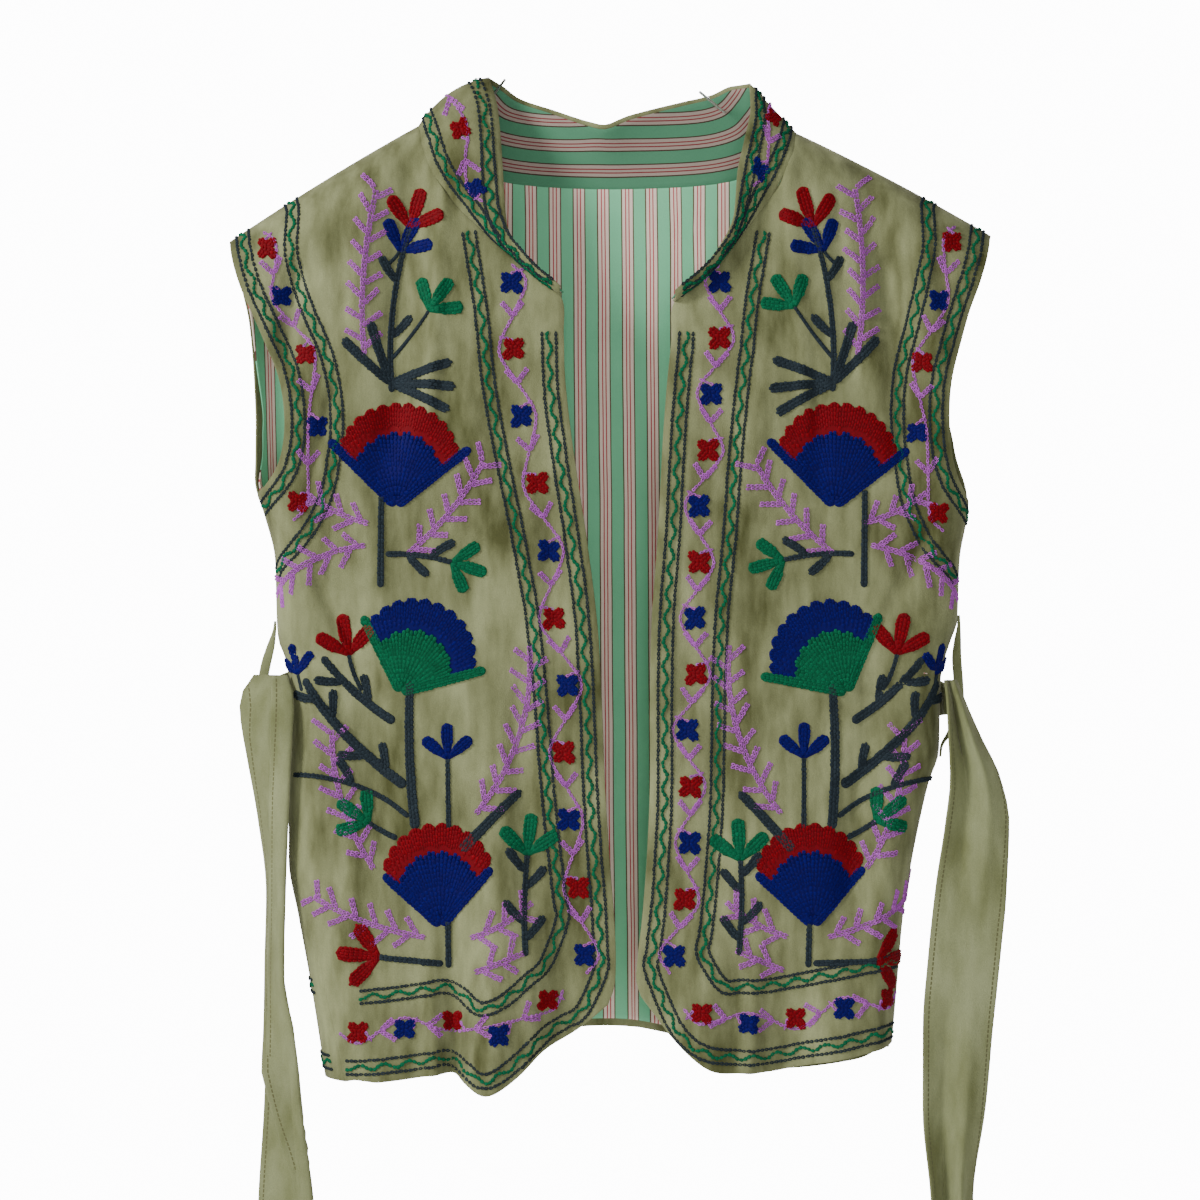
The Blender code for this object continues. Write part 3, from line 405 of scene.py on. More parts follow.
def addNode(tree, kind, **settings):
    node = tree.nodes.new(kind)
    for key, value in settings.items():
        setattr(node, key, value)
    return node


def noise(tree, vector, scale, detail, stretch=(1, 1, 1)):
    mapping = addNode(tree, "ShaderNodeMapping")
    mapping.inputs["Scale"].default_value = stretch
    texture = addNode(tree, "ShaderNodeTexNoise")
    texture.inputs["Scale"].default_value = scale
    texture.inputs["Detail"].default_value = detail
    tree.links.new(vector, mapping.inputs["Vector"])
    tree.links.new(mapping.outputs["Vector"], texture.inputs["Vector"])
    return texture.outputs["Fac"]


def blendColour(tree, factor, first, second, kind="MIX"):
    node = addNode(tree, "ShaderNodeMix", data_type="RGBA", blend_type=kind)
    for socket, value in ((node.inputs[0], factor), (node.inputs[6], first), (node.inputs[7], second)):
        if isinstance(value, bpy.types.NodeSocket):
            tree.links.new(value, socket)
        else:
            socket.default_value = value
    return node.outputs[2]


def maths(tree, operation, first, second=0.0):
    node = addNode(tree, "ShaderNodeMath", operation=operation)
    for socket, value in zip(node.inputs, (first, second)):
        if isinstance(value, bpy.types.NodeSocket):
            tree.links.new(value, socket)
        else:
            socket.default_value = value
    return node.outputs[0]


def makeNapGroup():
    # Crushed pile: soft upright patches that lie light or dark, under a fine grain.
    group, entry, result = newGroup(
        "velvetNap",
        [("Light", "NodeSocketColor", (1, 1, 1, 1)), ("Dark", "NodeSocketColor", (0, 0, 0, 1))],
        [("Colour", "NodeSocketColor"), ("Height", "NodeSocketFloat")])
    place = addNode(group, "ShaderNodeTexCoord").outputs["Object"]
    broad = noise(group, place, 17, 4, (1.0, 1.0, 0.55))
    streaks = noise(group, place, 95, 3, (1.0, 1.0, 0.3))
    grain = noise(group, place, 1500, 2)
    mixed = maths(group, "ADD", maths(group, "MULTIPLY", broad, 0.6), maths(group, "MULTIPLY", streaks, 0.4))
    ramp = addNode(group, "ShaderNodeMapRange")
    ramp.inputs["From Min"].default_value = 0.36
    ramp.inputs["From Max"].default_value = 0.64
    group.links.new(mixed, ramp.inputs["Value"])
    tone = blendColour(group, ramp.outputs["Result"], entry.outputs["Dark"], entry.outputs["Light"])
    speckle = addNode(group, "ShaderNodeMapRange")
    speckle.inputs["To Min"].default_value = 0.78
    speckle.inputs["To Max"].default_value = 1.22
    group.links.new(grain, speckle.inputs["Value"])
    final = addNode(group, "ShaderNodeVectorMath", operation="SCALE")
    group.links.new(tone, final.inputs[0])
    group.links.new(speckle.outputs["Result"], final.inputs["Scale"])
    group.links.new(final.outputs[0], result.inputs["Colour"])
    crumple = noise(group, place, 24, 2, (1.0, 1.0, 0.6))
    relief = maths(group, "ADD", grain, maths(group, "MULTIPLY", streaks, 1.6))
    rough = maths(group, "ADD", relief, maths(group, "MULTIPLY", crumple, 12.0))
    group.links.new(rough, result.inputs["Height"])
    return group


def makeStripeGroup():
    # Woven stripes: green, then pale with dark borders and two thin red lines.
    group, entry, result = newGroup(
        "cottonStripes",
        [("Place", "NodeSocketFloat", 0.0), ("Period", "NodeSocketFloat", 0.0161),
         ("Start", "NodeSocketFloat", 0.0), ("ToneWithPaintedLight", "NodeSocketFloat", 1.0)],
        [("Colour", "NodeSocketColor"), ("Height", "NodeSocketFloat")])
    place = addNode(group, "ShaderNodeTexCoord").outputs["Object"]
    waver = maths(group, "MULTIPLY", noise(group, place, 9, 2), 0.0012)
    moved = maths(group, "ADD", maths(group, "SUBTRACT", entry.outputs["Place"], entry.outputs["Start"]), waver)
    turns = maths(group, "FRACT", maths(group, "DIVIDE", moved, entry.outputs["Period"]))
    ramp = addNode(group, "ShaderNodeValToRGB")
    ramp.color_ramp.interpolation = "CONSTANT"
    green, brown = srgb(104, 172, 132), srgb(84, 60, 50)
    pale, red = srgb(200, 182, 168), srgb(156, 62, 68)
    stops = [(0.0, green), (0.472, brown), (0.522, pale), (0.638, red), (0.684, pale),
             (0.776, red), (0.822, pale), (0.95, brown)]
    elements = ramp.color_ramp.elements
    elements[0].color = stops[0][1]
    elements[1].position, elements[1].color = stops[1]
    for position, colour in stops[2:]:
        elements.new(position).color = colour
    group.links.new(turns, ramp.inputs["Fac"])
    weave = noise(group, place, 1800, 1)
    worn = addNode(group, "ShaderNodeMapRange")
    worn.inputs["To Min"].default_value = 0.8
    worn.inputs["To Max"].default_value = 1.16
    group.links.new(maths(group, "ADD", maths(group, "MULTIPLY", weave, 0.5),
                          maths(group, "MULTIPLY", noise(group, place, 30, 3), 0.5)), worn.inputs["Value"])
    final = addNode(group, "ShaderNodeVectorMath", operation="SCALE")
    group.links.new(ramp.outputs["Color"], final.inputs[0])
    # The tone scales the whole colour: painted light that brightens or darkens this copy of the lining for how it
    # is lit.
    shaded = maths(group, "MULTIPLY", worn.outputs["Result"], entry.outputs["ToneWithPaintedLight"])
    group.links.new(shaded, final.inputs["Scale"])
    group.links.new(final.outputs[0], result.inputs["Colour"])
    group.links.new(weave, result.inputs["Height"])
    return group


def makeThreadGroup():
    # Twisted thread: each stitch's tone, random per stitch and with painted light (a painted highlight on its
    # ridge, painted shade at its base and hole), over a fine grain.
    group, entry, result = newGroup(
        "threadTone",
        [("Colour", "NodeSocketColor", (1, 1, 1, 1)), ("ToneWithPaintedLight", "NodeSocketFloat", 1.0)],
        [("Colour", "NodeSocketColor"), ("Height", "NodeSocketFloat")])
    place = addNode(group, "ShaderNodeTexCoord").outputs["Object"]
    grain = noise(group, place, 1300, 1)
    tone = maths(group, "MULTIPLY", entry.outputs["ToneWithPaintedLight"], maths(group, "ADD", grain, 0.5))
    final = addNode(group, "ShaderNodeVectorMath", operation="SCALE")
    group.links.new(entry.outputs["Colour"], final.inputs[0])
    group.links.new(tone, final.inputs["Scale"])
    group.links.new(final.outputs[0], result.inputs["Colour"])
    group.links.new(grain, result.inputs["Height"])
    return group


def newMaterial(name, roughness, metallic=0.0):
    material = bpy.data.materials.new(name)
    material.use_nodes = True
    tree = material.node_tree
    shader = tree.nodes["Principled BSDF"]
    shader.inputs["Roughness"].default_value = roughness
    shader.inputs["Metallic"].default_value = metallic
    return material, tree, shader


def dress(tree, shader, group, strength, distance):
    # Feeds a group's colour and height into the shader and returns the group's node.
    node = addNode(tree, "ShaderNodeGroup", node_tree=group)
    bump = addNode(tree, "ShaderNodeBump")
    bump.inputs["Strength"].default_value = strength
    bump.inputs["Distance"].default_value = distance
    tree.links.new(node.outputs["Colour"], shader.inputs["Base Color"])
    tree.links.new(node.outputs["Height"], bump.inputs["Height"])
    tree.links.new(bump.outputs["Normal"], shader.inputs["Normal"])
    return node


def makeTopstitchGroup():
    # Dashes of thread 3.3 mm inside both edges of a band of cloth.
    group, entry, result = newGroup(
        "topstitch", [("Across", "NodeSocketFloat", 0.0), ("Down", "NodeSocketFloat", 0.0)],
        [("Mask", "NodeSocketFloat")])
    middle = maths(group, "ABSOLUTE", maths(group, "SUBTRACT", entry.outputs["Across"], 0.0235))
    near = maths(group, "LESS_THAN", maths(group, "ABSOLUTE", maths(group, "SUBTRACT", middle, 0.0202)), 0.0005)
    steps = maths(group, "FRACT", maths(group, "DIVIDE", entry.outputs["Down"], 0.0032))
    dash = maths(group, "LESS_THAN", steps, 0.72)
    group.links.new(maths(group, "MULTIPLY", near, dash), result.inputs["Mask"])
    return group


napGroup, stripeGroup, threadGroup = makeNapGroup(), makeStripeGroup(), makeThreadGroup()


def velvetMaterial(name, light, dark):
    material, tree, shader = newMaterial(name, 0.95)
    shader.inputs["Specular IOR Level"].default_value = 0.12
    shader.inputs["Sheen Weight"].default_value = 0.28
    shader.inputs["Sheen Roughness"].default_value = 0.4
    shader.inputs["Sheen Tint"].default_value = srgb(225, 222, 200)
    node = dress(tree, shader, napGroup, 0.5, 0.0006)
    node.inputs["Light"].default_value = light
    node.inputs["Dark"].default_value = dark
    return material


def cottonMaterial(name, axis, period, start, toneWithPaintedLight):
    material, tree, shader = newMaterial(name, 0.88)
    shader.inputs["Specular IOR Level"].default_value = 0.2
    node = dress(tree, shader, stripeGroup, 0.3, 0.0003)
    layer = addNode(tree, "ShaderNodeUVMap", uv_map="flat")
    split = addNode(tree, "ShaderNodeSeparateXYZ")
    tree.links.new(layer.outputs["UV"], split.inputs[0])
    tree.links.new(split.outputs[axis], node.inputs["Place"])
    node.inputs["Period"].default_value = period
    node.inputs["Start"].default_value = start
    # The tone paints light on this copy where it is above 1 and shade where it is below 1.
    node.inputs["ToneWithPaintedLight"].default_value = toneWithPaintedLight
    return material


def threadMaterial(name, colour):
    material, tree, shader = newMaterial(name, 0.62)
    shader.inputs["Specular IOR Level"].default_value = 0.1
    node = dress(tree, shader, threadGroup, 0.35, 0.0003)
    node.inputs["Colour"].default_value = colour
    # Each point's tone holds a random tone per stitch and painted light: a painted highlight on the ridges, painted
    # shade at the bases and holes.
    toneWithPaintedLightNode = addNode(tree, "ShaderNodeAttribute", attribute_name="toneWithPaintedLight")
    tree.links.new(toneWithPaintedLightNode.outputs["Fac"], node.inputs["ToneWithPaintedLight"])
    return material


velvet = velvetMaterial("velvetPile", srgb(142, 146, 106), srgb(74, 76, 44))
sashVelvet = velvetMaterial("sashPile", srgb(141, 146, 108), srgb(104, 108, 70))
stitchTree = sashVelvet.node_tree
stitchNode = addNode(stitchTree, "ShaderNodeGroup", node_tree=makeTopstitchGroup())
stitchLayer = addNode(stitchTree, "ShaderNodeUVMap", uv_map="flat")
stitchSplit = addNode(stitchTree, "ShaderNodeSeparateXYZ")
stitchTree.links.new(stitchLayer.outputs["UV"], stitchSplit.inputs[0])
stitchTree.links.new(stitchSplit.outputs[0], stitchNode.inputs["Across"])
stitchTree.links.new(stitchSplit.outputs[1], stitchNode.inputs["Down"])
sashShader = stitchTree.nodes["Principled BSDF"]
sashColour = sashShader.inputs["Base Color"].links[0].from_socket
stitchTree.links.new(blendColour(stitchTree, stitchNode.outputs["Mask"], sashColour, srgb(92, 92, 62)),
                     sashShader.inputs["Base Color"])
# Painted light: the body lining is brightened (1.36) where the fronts shade it, and the collar lining is darkened
# (0.56), a painted shade, where it faces the key light.
paintedLightCotton = cottonMaterial("paintedLightStripedCotton", 0, 0.0161, 0.0009, 1.36)
paintedShadeCollarCotton = cottonMaterial("paintedShadeCollarCotton", 1, 0.018, 0.0, 0.56)
threads = {
    "charcoal": threadMaterial("charcoalThread", srgb(34, 44, 50)),
    "green": threadMaterial("greenThread", srgb(0, 88, 56)),
    "red": threadMaterial("redThread", srgb(112, 0, 12)),
    "navy": threadMaterial("navyThread", srgb(6, 0, 84)),
    "lilac": threadMaterial("lilacThread", srgb(176, 92, 186)),
}
steel, steelTree, steelShader = newMaterial("brightSteel", 0.28, 1.0)
steelShader.inputs["Base Color"].default_value = (0.86, 0.86, 0.88, 1)
print("materials")


def facingOut(vertices, faces):
    # Turns all faces of a closed mesh over if they face in.
    p = vertices[faces]
    volume = 0.0
    for b, c in ((1, 2), (2, 3)):
        volume += np.einsum("ij,ij->i", p[:, 0], np.cross(p[:, b], p[:, c])).sum()
    return faces if volume > 0 else faces[:, ::-1]


def makeObject(name, vertices, faces, material, flat=None, toneWithPaintedLight=None):
    mesh = bpy.data.meshes.new(name)
    mesh.from_pydata((np.asarray(vertices) * metre).tolist(), [], faces.tolist())
    mesh.materials.append(material)
    mesh.shade_smooth()
    if flat is not None:
        corners = np.empty(len(mesh.loops), int)
        mesh.loops.foreach_get("vertex_index", corners)
        layer = mesh.uv_layers.new(name="flat")
        layer.data.foreach_set("uv", (flat[corners] * metre).ravel())
    # A per-point tone for the threads, with painted light and shade in it.
    if toneWithPaintedLight is not None:
        attribute = mesh.attributes.new("toneWithPaintedLight", "FLOAT", "POINT")
        attribute.data.foreach_set("value", toneWithPaintedLight)
    piece = bpy.data.objects.new(name, mesh)
    bpy.context.scene.collection.objects.link(piece)
    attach(piece, "root")
    return piece


def gridQuads(rows, columns, offset=0):
    i, j = np.meshgrid(np.arange(rows - 1), np.arange(columns - 1), indexing="ij")
    a = (i * columns + j).ravel() + offset
    return np.stack([a, a + columns, a + columns + 1, a + 1], -1)


def clothWall(name, outer, normals, wall, material, flat):
    # A thin wall of cloth between two grids, its free edges rounded like a turned hem.
    rows, columns = outer.shape[:2]
    count = rows * columns
    outer, normals = outer.reshape(-1, 3), normals.reshape(-1, 3)
    inner = outer - normals * wall
    index = np.arange(count).reshape(rows, columns)
    ring = np.concatenate([index[0, :-1], index[:-1, -1], index[-1, :0:-1], index[:0:-1, 0]])
    i = np.clip(ring // columns, 1, rows - 2)
    j = np.clip(ring % columns, 1, columns - 2)
    out = outer[ring] - outer[i * columns + j]
    normal = normals[ring]
    out -= normal * (out * normal).sum(1, keepdims=True)
    out /= np.maximum(np.linalg.norm(out, axis=1, keepdims=True), 1e-9)
    middle = (outer[ring] + inner[ring]) / 2
    bands, vertices = [ring], [outer, inner]
    for k, degrees in enumerate((45, 90, 135)):
        turn = math.radians(degrees)
        bulge = 0.5 * math.sin(turn)
        vertices.append(middle + (normal * math.cos(turn) + out * bulge) * wall / 2)
        bands.append(2 * count + k * len(ring) + np.arange(len(ring)))
    bands.append(ring + count)
    faces = [gridQuads(rows, columns), gridQuads(rows, columns, count)[:, ::-1]]
    for near, far in zip(bands[:-1], bands[1:]):
        faces.append(np.stack([near, np.roll(near, -1), np.roll(far, -1), far], -1))
    cut = flat.reshape(-1, 2)
    flats = np.concatenate([cut, cut] + [cut[ring]] * 3)
    vertices = np.concatenate(vertices)
    return makeObject(name, vertices, facingOut(vertices, np.concatenate(faces)), material, flats)


def gridNormals(grid):
    crossed = np.cross(np.gradient(grid, axis=0), np.gradient(grid, axis=1))
    return crossed / np.maximum(np.linalg.norm(crossed, axis=2, keepdims=True), 1e-9)


def inset(cut, hang, top, bottom, first, last):
    # Draws the chosen borders of a flat cut in by so many millimetres of hung cloth.
    points = hang(cut[..., 0], cut[..., 1])[0]
    result = cut.copy()
    for line, beside, amounts in (((0, slice(None)), (1, slice(None)), top),
                                  ((-1, slice(None)), (-2, slice(None)), bottom),
                                  ((slice(None), 0), (slice(None), 1), first),
                                  ((slice(None), -1), (slice(None), -2), last)):
        amounts = np.broadcast_to(np.asarray(amounts, float), cut[line][..., 0].shape)
        lengths = np.linalg.norm(points[beside] - points[line], axis=1)
        share = np.minimum(amounts / lengths, 0.9)[:, None]
        result[line] = cut[line] * (1 - share) + cut[beside] * share
    return result


def panel(name, cut, place, wall, lift, material, side, times):
    # One hung piece of cloth from its flat cut.
    fine = refine(refine(cut, times[0]), times[1], 1)
    points, normals = place(fine[..., 0], fine[..., 1])
    flat = np.stack([fine[..., 0] * side, fine[..., 1]], -1)
    flat[..., 0] += 0.0068 * (flat[..., 1] + 62)
    return clothWall(name, points + normals * lift, normals, wall, material, flat)


rightCut, leftCut, wholeBack = frontCut(-1), frontCut(1), backCut()
frontRight = panel("frontRight", rightCut, placeRight, velvetWall, 0, velvet, -1, (8, 6))
frontLeft = panel("frontLeft", leftCut, placeLeft, velvetWall, 0, velvet, 1, (8, 6))
back = panel("backVelvet", wholeBack, placeBack, velvetWall, 0, velvet, 1, (8, 5))
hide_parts("front_right")
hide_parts("front_left")
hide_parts("back")

inside = -(velvetWall + liningGap)
armRows = [5.0 if row[0] is not seam else 0.0 for row in rightRows]
backArm = [0.2] * 5 + [5.0] * 3 + [0.0] * 11
liningRight = panel("liningRight", inset(rightCut, placeRight, 0, 5, armRows, 5), placeRight, liningWall,
                    inside, paintedLightCotton, -1, (6, 4))
liningLeft = panel("liningLeft", inset(leftCut, placeLeft, 0, 5, armRows, 5), placeLeft, liningWall,
                   inside, paintedLightCotton, 1, (6, 4))
liningBack = panel("liningBack", inset(wholeBack, placeBack, 0, 5, backArm, backArm), placeBack, liningWall,
                   inside, paintedLightCotton, 1, (6, 4))
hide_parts("lining_right")
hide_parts("lining_left")
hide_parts("lining_back")
print("panels")

# Collar: share of the neckline, top edge point and how far the middle swells out.
collarTop = [
    (0.00, -32, -64, -131, 2), (0.05, -52, -66, -114, 3), (0.10, -67, -64, -91, 3), (0.15, -69, -60, -65, 4),
    (0.20, -71, -50, -37, 5), (0.24, -74, -37, -9, 6), (0.27, -80, -26, 11.5, 6.5), (0.31, -71, -17, 7, 5),
    (0.345, -60, -15, -1, 3), (0.40, -38, -18, -9, 2), (0.47, -12, -23, -18, 2), (0.51, -3, -25, -20, 2),
    (0.55, 12, -23, -14, 2), (0.63, 48, -17, -4, 2), (0.68, 68, -15, 1, 2), (0.71, 82, -16, 7, 1.5),
    (0.745, 94, -23, 8, 0), (0.777, 94, -35, -8, 0), (0.82, 89, -50, -34, 1), (0.86, 84, -60, -57, 3),
    (0.905, 82, -65, -84, 3), (0.95, 67, -66, -113, 3), (1.00, 43, -64, -134, 2),
]


def neckline():
    # Neckline points, normals and inward neighbours, from the right end to the left end.
    right, rightN = placeRight(rightCut[..., 0], rightCut[..., 1])
    left, leftN = placeLeft(leftCut[..., 0], leftCut[..., 1])
    middle, middleN = placeBack(wholeBack[..., 0], wholeBack[..., 1])
    neck = [k for k, point in enumerate(backTop) if point[1] is not shoulder]
    ring = [(right[i, -1], rightN[i, -1], right[i, -2]) for i in range(6, 0, -1)]
    start, end = neck[0] - 1, neck[-1] + 1
    ring.append(((right[0, -1] + middle[0, start]) / 2, rightN[0, -1] + middleN[0, start], right[0, -2]))
    ring += [(middle[0, j], middleN[0, j], middle[1, j]) for j in neck]
    ring.append(((left[0, -1] + middle[0, end]) / 2, leftN[0, -1] + middleN[0, end], left[0, -2]))
    ring += [(left[i, -1], leftN[i, -1], left[i, -2]) for i in range(1, 7)]
    return [np.array(part) for part in zip(*ring)]


def collarGrid():
    # Collar points: rows from the neck seam to the top edge, following the same rise as the cut.
    edge, seamN, inward = neckline()
    seamN /= np.linalg.norm(seamN, axis=1, keepdims=True)
    tangent = np.concatenate([edge[1:2] - edge[:1], edge[2:] - edge[:-2], edge[-1:] - edge[-2:-1]])
    away = np.cross(tangent, seamN)
    away /= np.linalg.norm(away, axis=1, keepdims=True)
    away *= np.where((away * (edge - inward)).sum(1) < 0, -1, 1)[:, None]
    foot = refine(edge + away * seamGap, 6)
    lengths = np.concatenate([[0], np.cumsum(np.linalg.norm(np.diff(foot, axis=0), axis=1))])
    along = lengths / lengths[-1]
    keys = [row[0] for row in collarTop]
    curves = [curveOf(keys, [row[k] for row in collarTop]) for k in range(1, 5)]
    top = np.stack([curve(along) for curve in curves[:3]], -1)
    rises = np.linspace(0, 1, 17)[:, None, None]
    base = foot * (1 - rises) + top * rises
    base = base + gridNormals(base) * (curves[3](along)[None, :, None] * 4 * rises * (1 - rises))
    heights = np.linalg.norm(base[-1] - base[0], axis=1)
    return base, gridNormals(base), lengths, heights


collarPoints, collarNormals, collarLengths, collarHeights = collarGrid()
# At the nape the collar's outside faces the wall, so the sign is set once there.
nape = collarPoints.shape[1] // 2
if collarNormals[8, nape, 1] < 0:
    collarNormals = -collarNormals


def onCollar(along, up):
    # Place and normal on the collar, at a distance along the seam and a height above it.
    column = np.interp(along, collarLengths, np.arange(len(collarLengths)))
    height = np.interp(along, collarLengths, collarHeights)
    row = np.clip(up / height, 0, 1) * 16
    i = np.clip(row.astype(int), 0, 15)
    j = np.clip(column.astype(int), 0, len(collarLengths) - 2)
    dr, dc = (row - i)[..., None], (column - j)[..., None]
    parts = []
    for grid in (collarPoints, collarNormals):
        near = grid[i, j] * (1 - dc) + grid[i, j + 1] * dc
        far = grid[i + 1, j] * (1 - dc) + grid[i + 1, j + 1] * dc
        parts.append(near * (1 - dr) + far * dr)
    normal = parts[1] / np.linalg.norm(parts[1], axis=-1, keepdims=True)
    return parts[0], normal


def placeCollar(along, up, lift=0.0):
    point, normal = onCollar(np.asarray(along, float), np.asarray(up, float))
    return point + normal * np.asarray(lift)[..., None], normal


collarFlat = np.stack(np.broadcast_arrays(
    collarLengths[None, :], np.linspace(0, 1, 17)[:, None] * collarHeights[None, :]), -1)
collar = clothWall("collarVelvet", collarPoints, collarNormals, velvetWall, velvet, collarFlat)
shares = np.linspace(0, 1, 17)[:, None] * (1 - np.minimum(2.5, 0.3 * collarHeights) / collarHeights)[None, :]
liningUp = shares * collarHeights[None, :]
along = np.broadcast_to(collarLengths[None, :], liningUp.shape)
liningPoints, liningNormals = onCollar(along, liningUp)
liningCollar = clothWall("liningCollar", liningPoints + liningNormals * inside, liningNormals, liningWall,
                         paintedShadeCollarCotton, np.stack([along, liningUp], -1))
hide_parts("collar")
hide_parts("lining_collar")
print("collar", round(float(collarLengths[-1])), round(float(collarHeights.min())),
      round(float(collarHeights.max())))

sashWidth = 47.0
# Height, edge, fold, far edge, flap, depth of the fold, gather.
rightTail = [
    (-386, -222, -212, -235, 11, -45, .3), (-402, -221, -207.5, -243, 10.5, -54, 0),
    (-441, -222, -209, -238, 15, -57, 0), (-480, -223, -211, -232, 16, -57, 0),
    (-530, -223, -213, -227, 16, -56, 0), (-580, -224, -214, -228, 18, -55, 0),
    (-622, -225, -207, -228, 21, -54, 0), (-670, -227, -202, -230, 27, -51, 0),
    (-732, -231, -195, -233, 37, -48, 0), (-800, -233, -193, -228, 41, -46, 0),
    (-870, -232, -193, -225, 40, -46, 0), (-945, -230, -192, -222, 39, -46, 0),
]
# Height, inner edge, outer edge, depth, gather.
leftTail = [
    (-389, 221, 229, -46, .6), (-402, 222, 234, -52, .35), (-427, 223, 245, -54, .1),
    (-452, 224, 257, -54, 0), (-482, 221, 263, -52, 0), (-525, 214.5, 261, -51, 0),
    (-573, 209.5, 256.5, -50, 0), (-615, 206.5, 252.5, -49, 0), (-670, 206.5, 248, -49, 0),
    (-732, 212, 240, -50, 0), (-800, 214, 243, -50, 0), (-870, 213, 250, -49, 0), (-950, 211, 255, -48, 0),
]


def rightTailLine(edge, fold, far, flap, foldY, gather):
    back = (sashWidth - flap) * (1 - gather)
    reach = min(fold - far, back)
    flapDeep = math.sqrt(max(flap ** 2 - (fold - edge) ** 2, 0))
    backDeep = math.sqrt(back ** 2 - reach ** 2)
    turn = np.array([fold, foldY])
    toEdge = np.array([edge - fold, flapDeep]) / flap
    toFar = np.array([-reach, backDeep]) / back
    front = np.array([0.0, -2.4])
    return [turn + toEdge * flap + front, turn + toEdge * flap / 2 + front, turn + toEdge * 2.5 + front,
            turn + front / 2 + np.array([1.2, 0]), turn + toFar * 2.5, turn + toFar * back / 2,
            turn + toFar * back]


def leftTailLine(inner, outer, frontY, gather):
    width = sashWidth / 3 * (1 - gather)
    step = (outer - inner) / 3
    deep = math.sqrt(max(width ** 2 - step ** 2, 0))
    return [np.array([inner + step * k / 2, frontY + deep * abs((k / 2 + 1) % 2 - 1)]) for k in range(7)]


def softened(line, count):
    # A bent line at an even spacing, its bends rounded.
    lengths = np.concatenate([[0], np.cumsum(np.linalg.norm(np.diff(line, axis=0), axis=1))])
    at = np.linspace(0, lengths[-1], count)
    even = np.stack([np.interp(at, lengths, line[:, k]) for k in (0, 1)], -1)
    even[1:-1] = (even[:-2] + 2 * even[1:-1] + even[2:]) / 4
    return even


def tail(name, table, lineOf):
    # A hanging band of cloth, from the middle lines of its cross sections.
    heights = np.linspace(table[0][0], table[-1][0], 57)
    curves = [curveOf([row[0] for row in table], [row[k] for row in table]) for k in range(1, len(table[0]))]
    lines = [np.array(lineOf(*[float(curve(h)) for curve in curves])) for h in heights]
    lines = np.array([softened(line, 33) for line in lines])
    middle = np.concatenate([lines, np.broadcast_to(heights[:, None, None], lines.shape[:2] + (1,))], 2)
    ripple = 0.35 * np.sin(heights / 23.0) + 0.25 * np.sin(heights / 9.0 + 1.0)
    middle[..., 1] += ripple[:, None] * np.linspace(0.2, 1, middle.shape[1])[None, :]
    normals = gridNormals(middle)
    widths = np.concatenate([np.zeros((len(heights), 1)), np.cumsum(
        np.linalg.norm(np.diff(middle, axis=1), axis=2), axis=1)], 1)
    flat = np.stack([widths, np.broadcast_to(heights[:, None], widths.shape)], -1)
    return clothWall(name, middle + normals * sashWall / 2, normals, sashWall, sashVelvet, flat)


tailRight = tail("tailRight", rightTail, rightTailLine)
tailLeft = tail("tailLeft", leftTail, leftTailLine)
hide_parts("belt_tail_right")
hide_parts("belt_tail_left")


def tube(name, centres, widths, thicks, frame, sides, material):
    # A closed tube with a soft square section: widths along the frame's first direction.
    turn = np.linspace(0, 2 * math.pi, sides, endpoint=False)
    wide = np.sign(np.cos(turn)) * np.abs(np.cos(turn)) ** 0.35
    deep = np.sign(np.sin(turn)) * np.abs(np.sin(turn)) ** 0.6
    first, second = frame
    rings = centres[:, None] + first[:, None] * (wide[None, :, None] * widths[:, None, None] / 2)
    rings = rings + second[:, None] * (deep[None, :, None] * thicks[:, None, None] / 2)
    count = len(centres)
    vertices = np.concatenate([rings.reshape(-1, 3), centres[:1], centres[-1:]])
    i, j = np.meshgrid(np.arange(count - 1), np.arange(sides), indexing="ij")
    a, b = (i * sides + j).ravel(), (i * sides + (j + 1) % sides).ravel()
    sideFaces = np.stack([a, b, b + sides, a + sides], -1)
    j = np.arange(sides)
    start, end = count * sides, count * sides + 1
    last = (count - 1) * sides
    startCap = np.stack([(j + 1) % sides, j, np.full(sides, start), np.full(sides, start)], -1)
    endCap = np.stack([last + j, last + (j + 1) % sides, np.full(sides, end), np.full(sides, end)], -1)
    faces = facingOut(vertices, np.concatenate([sideFaces, startCap, endCap]))
    lists = [list(dict.fromkeys(face)) for face in faces.tolist()]
    mesh = bpy.data.meshes.new(name)
    mesh.from_pydata((vertices * metre).tolist(), [], lists)
    mesh.materials.append(material)
    mesh.shade_smooth()
    piece = bpy.data.objects.new(name, mesh)
    bpy.context.scene.collection.objects.link(piece)
    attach(piece, "root")
    return piece


# Centre line of the run behind the back, the cloth's height and its bunched thickness.
sashRun = np.array([
    (-220, -33, -397, 19, 6.0), (-219.4, -24, -397, 21, 5.2), (-214.5, -12.5, -397, 26, 4.2),
    (-203, -5.2, -397, 34, 3.0), (-186, -3.5, -397.5, 43, 2.2), (-150, -3.5, -398, 47, 1.8),
    (-75, -3.5, -399.5, 47, 1.8), (0, -3.5, -400, 47, 1.8), (75, -3.5, -399.5, 47, 1.8),
    (156, -3.5, -398, 47, 1.8), (188, -3.5, -399, 43, 2.2), (205, -5.2, -400, 34, 3.0),
    (217, -12.5, -401, 26, 4.2), (223.4, -24, -402, 21, 5.0), (224.4, -33, -402, 19, 5.4),
])
runFine = refine(sashRun, 5)
ahead = np.gradient(runFine[:, :3], axis=0)
runOut = np.stack([-ahead[:, 1], ahead[:, 0], np.zeros(len(ahead))], -1)
runOut /= np.linalg.norm(runOut, axis=1, keepdims=True)
runUp = np.tile([0.0, 0.0, 1.0], (len(runFine), 1))
beltRun = tube("beltRun", runFine[:, :3], runFine[:, 3], runFine[:, 4], (runUp, runOut), 28, sashVelvet)
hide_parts("belt_back")

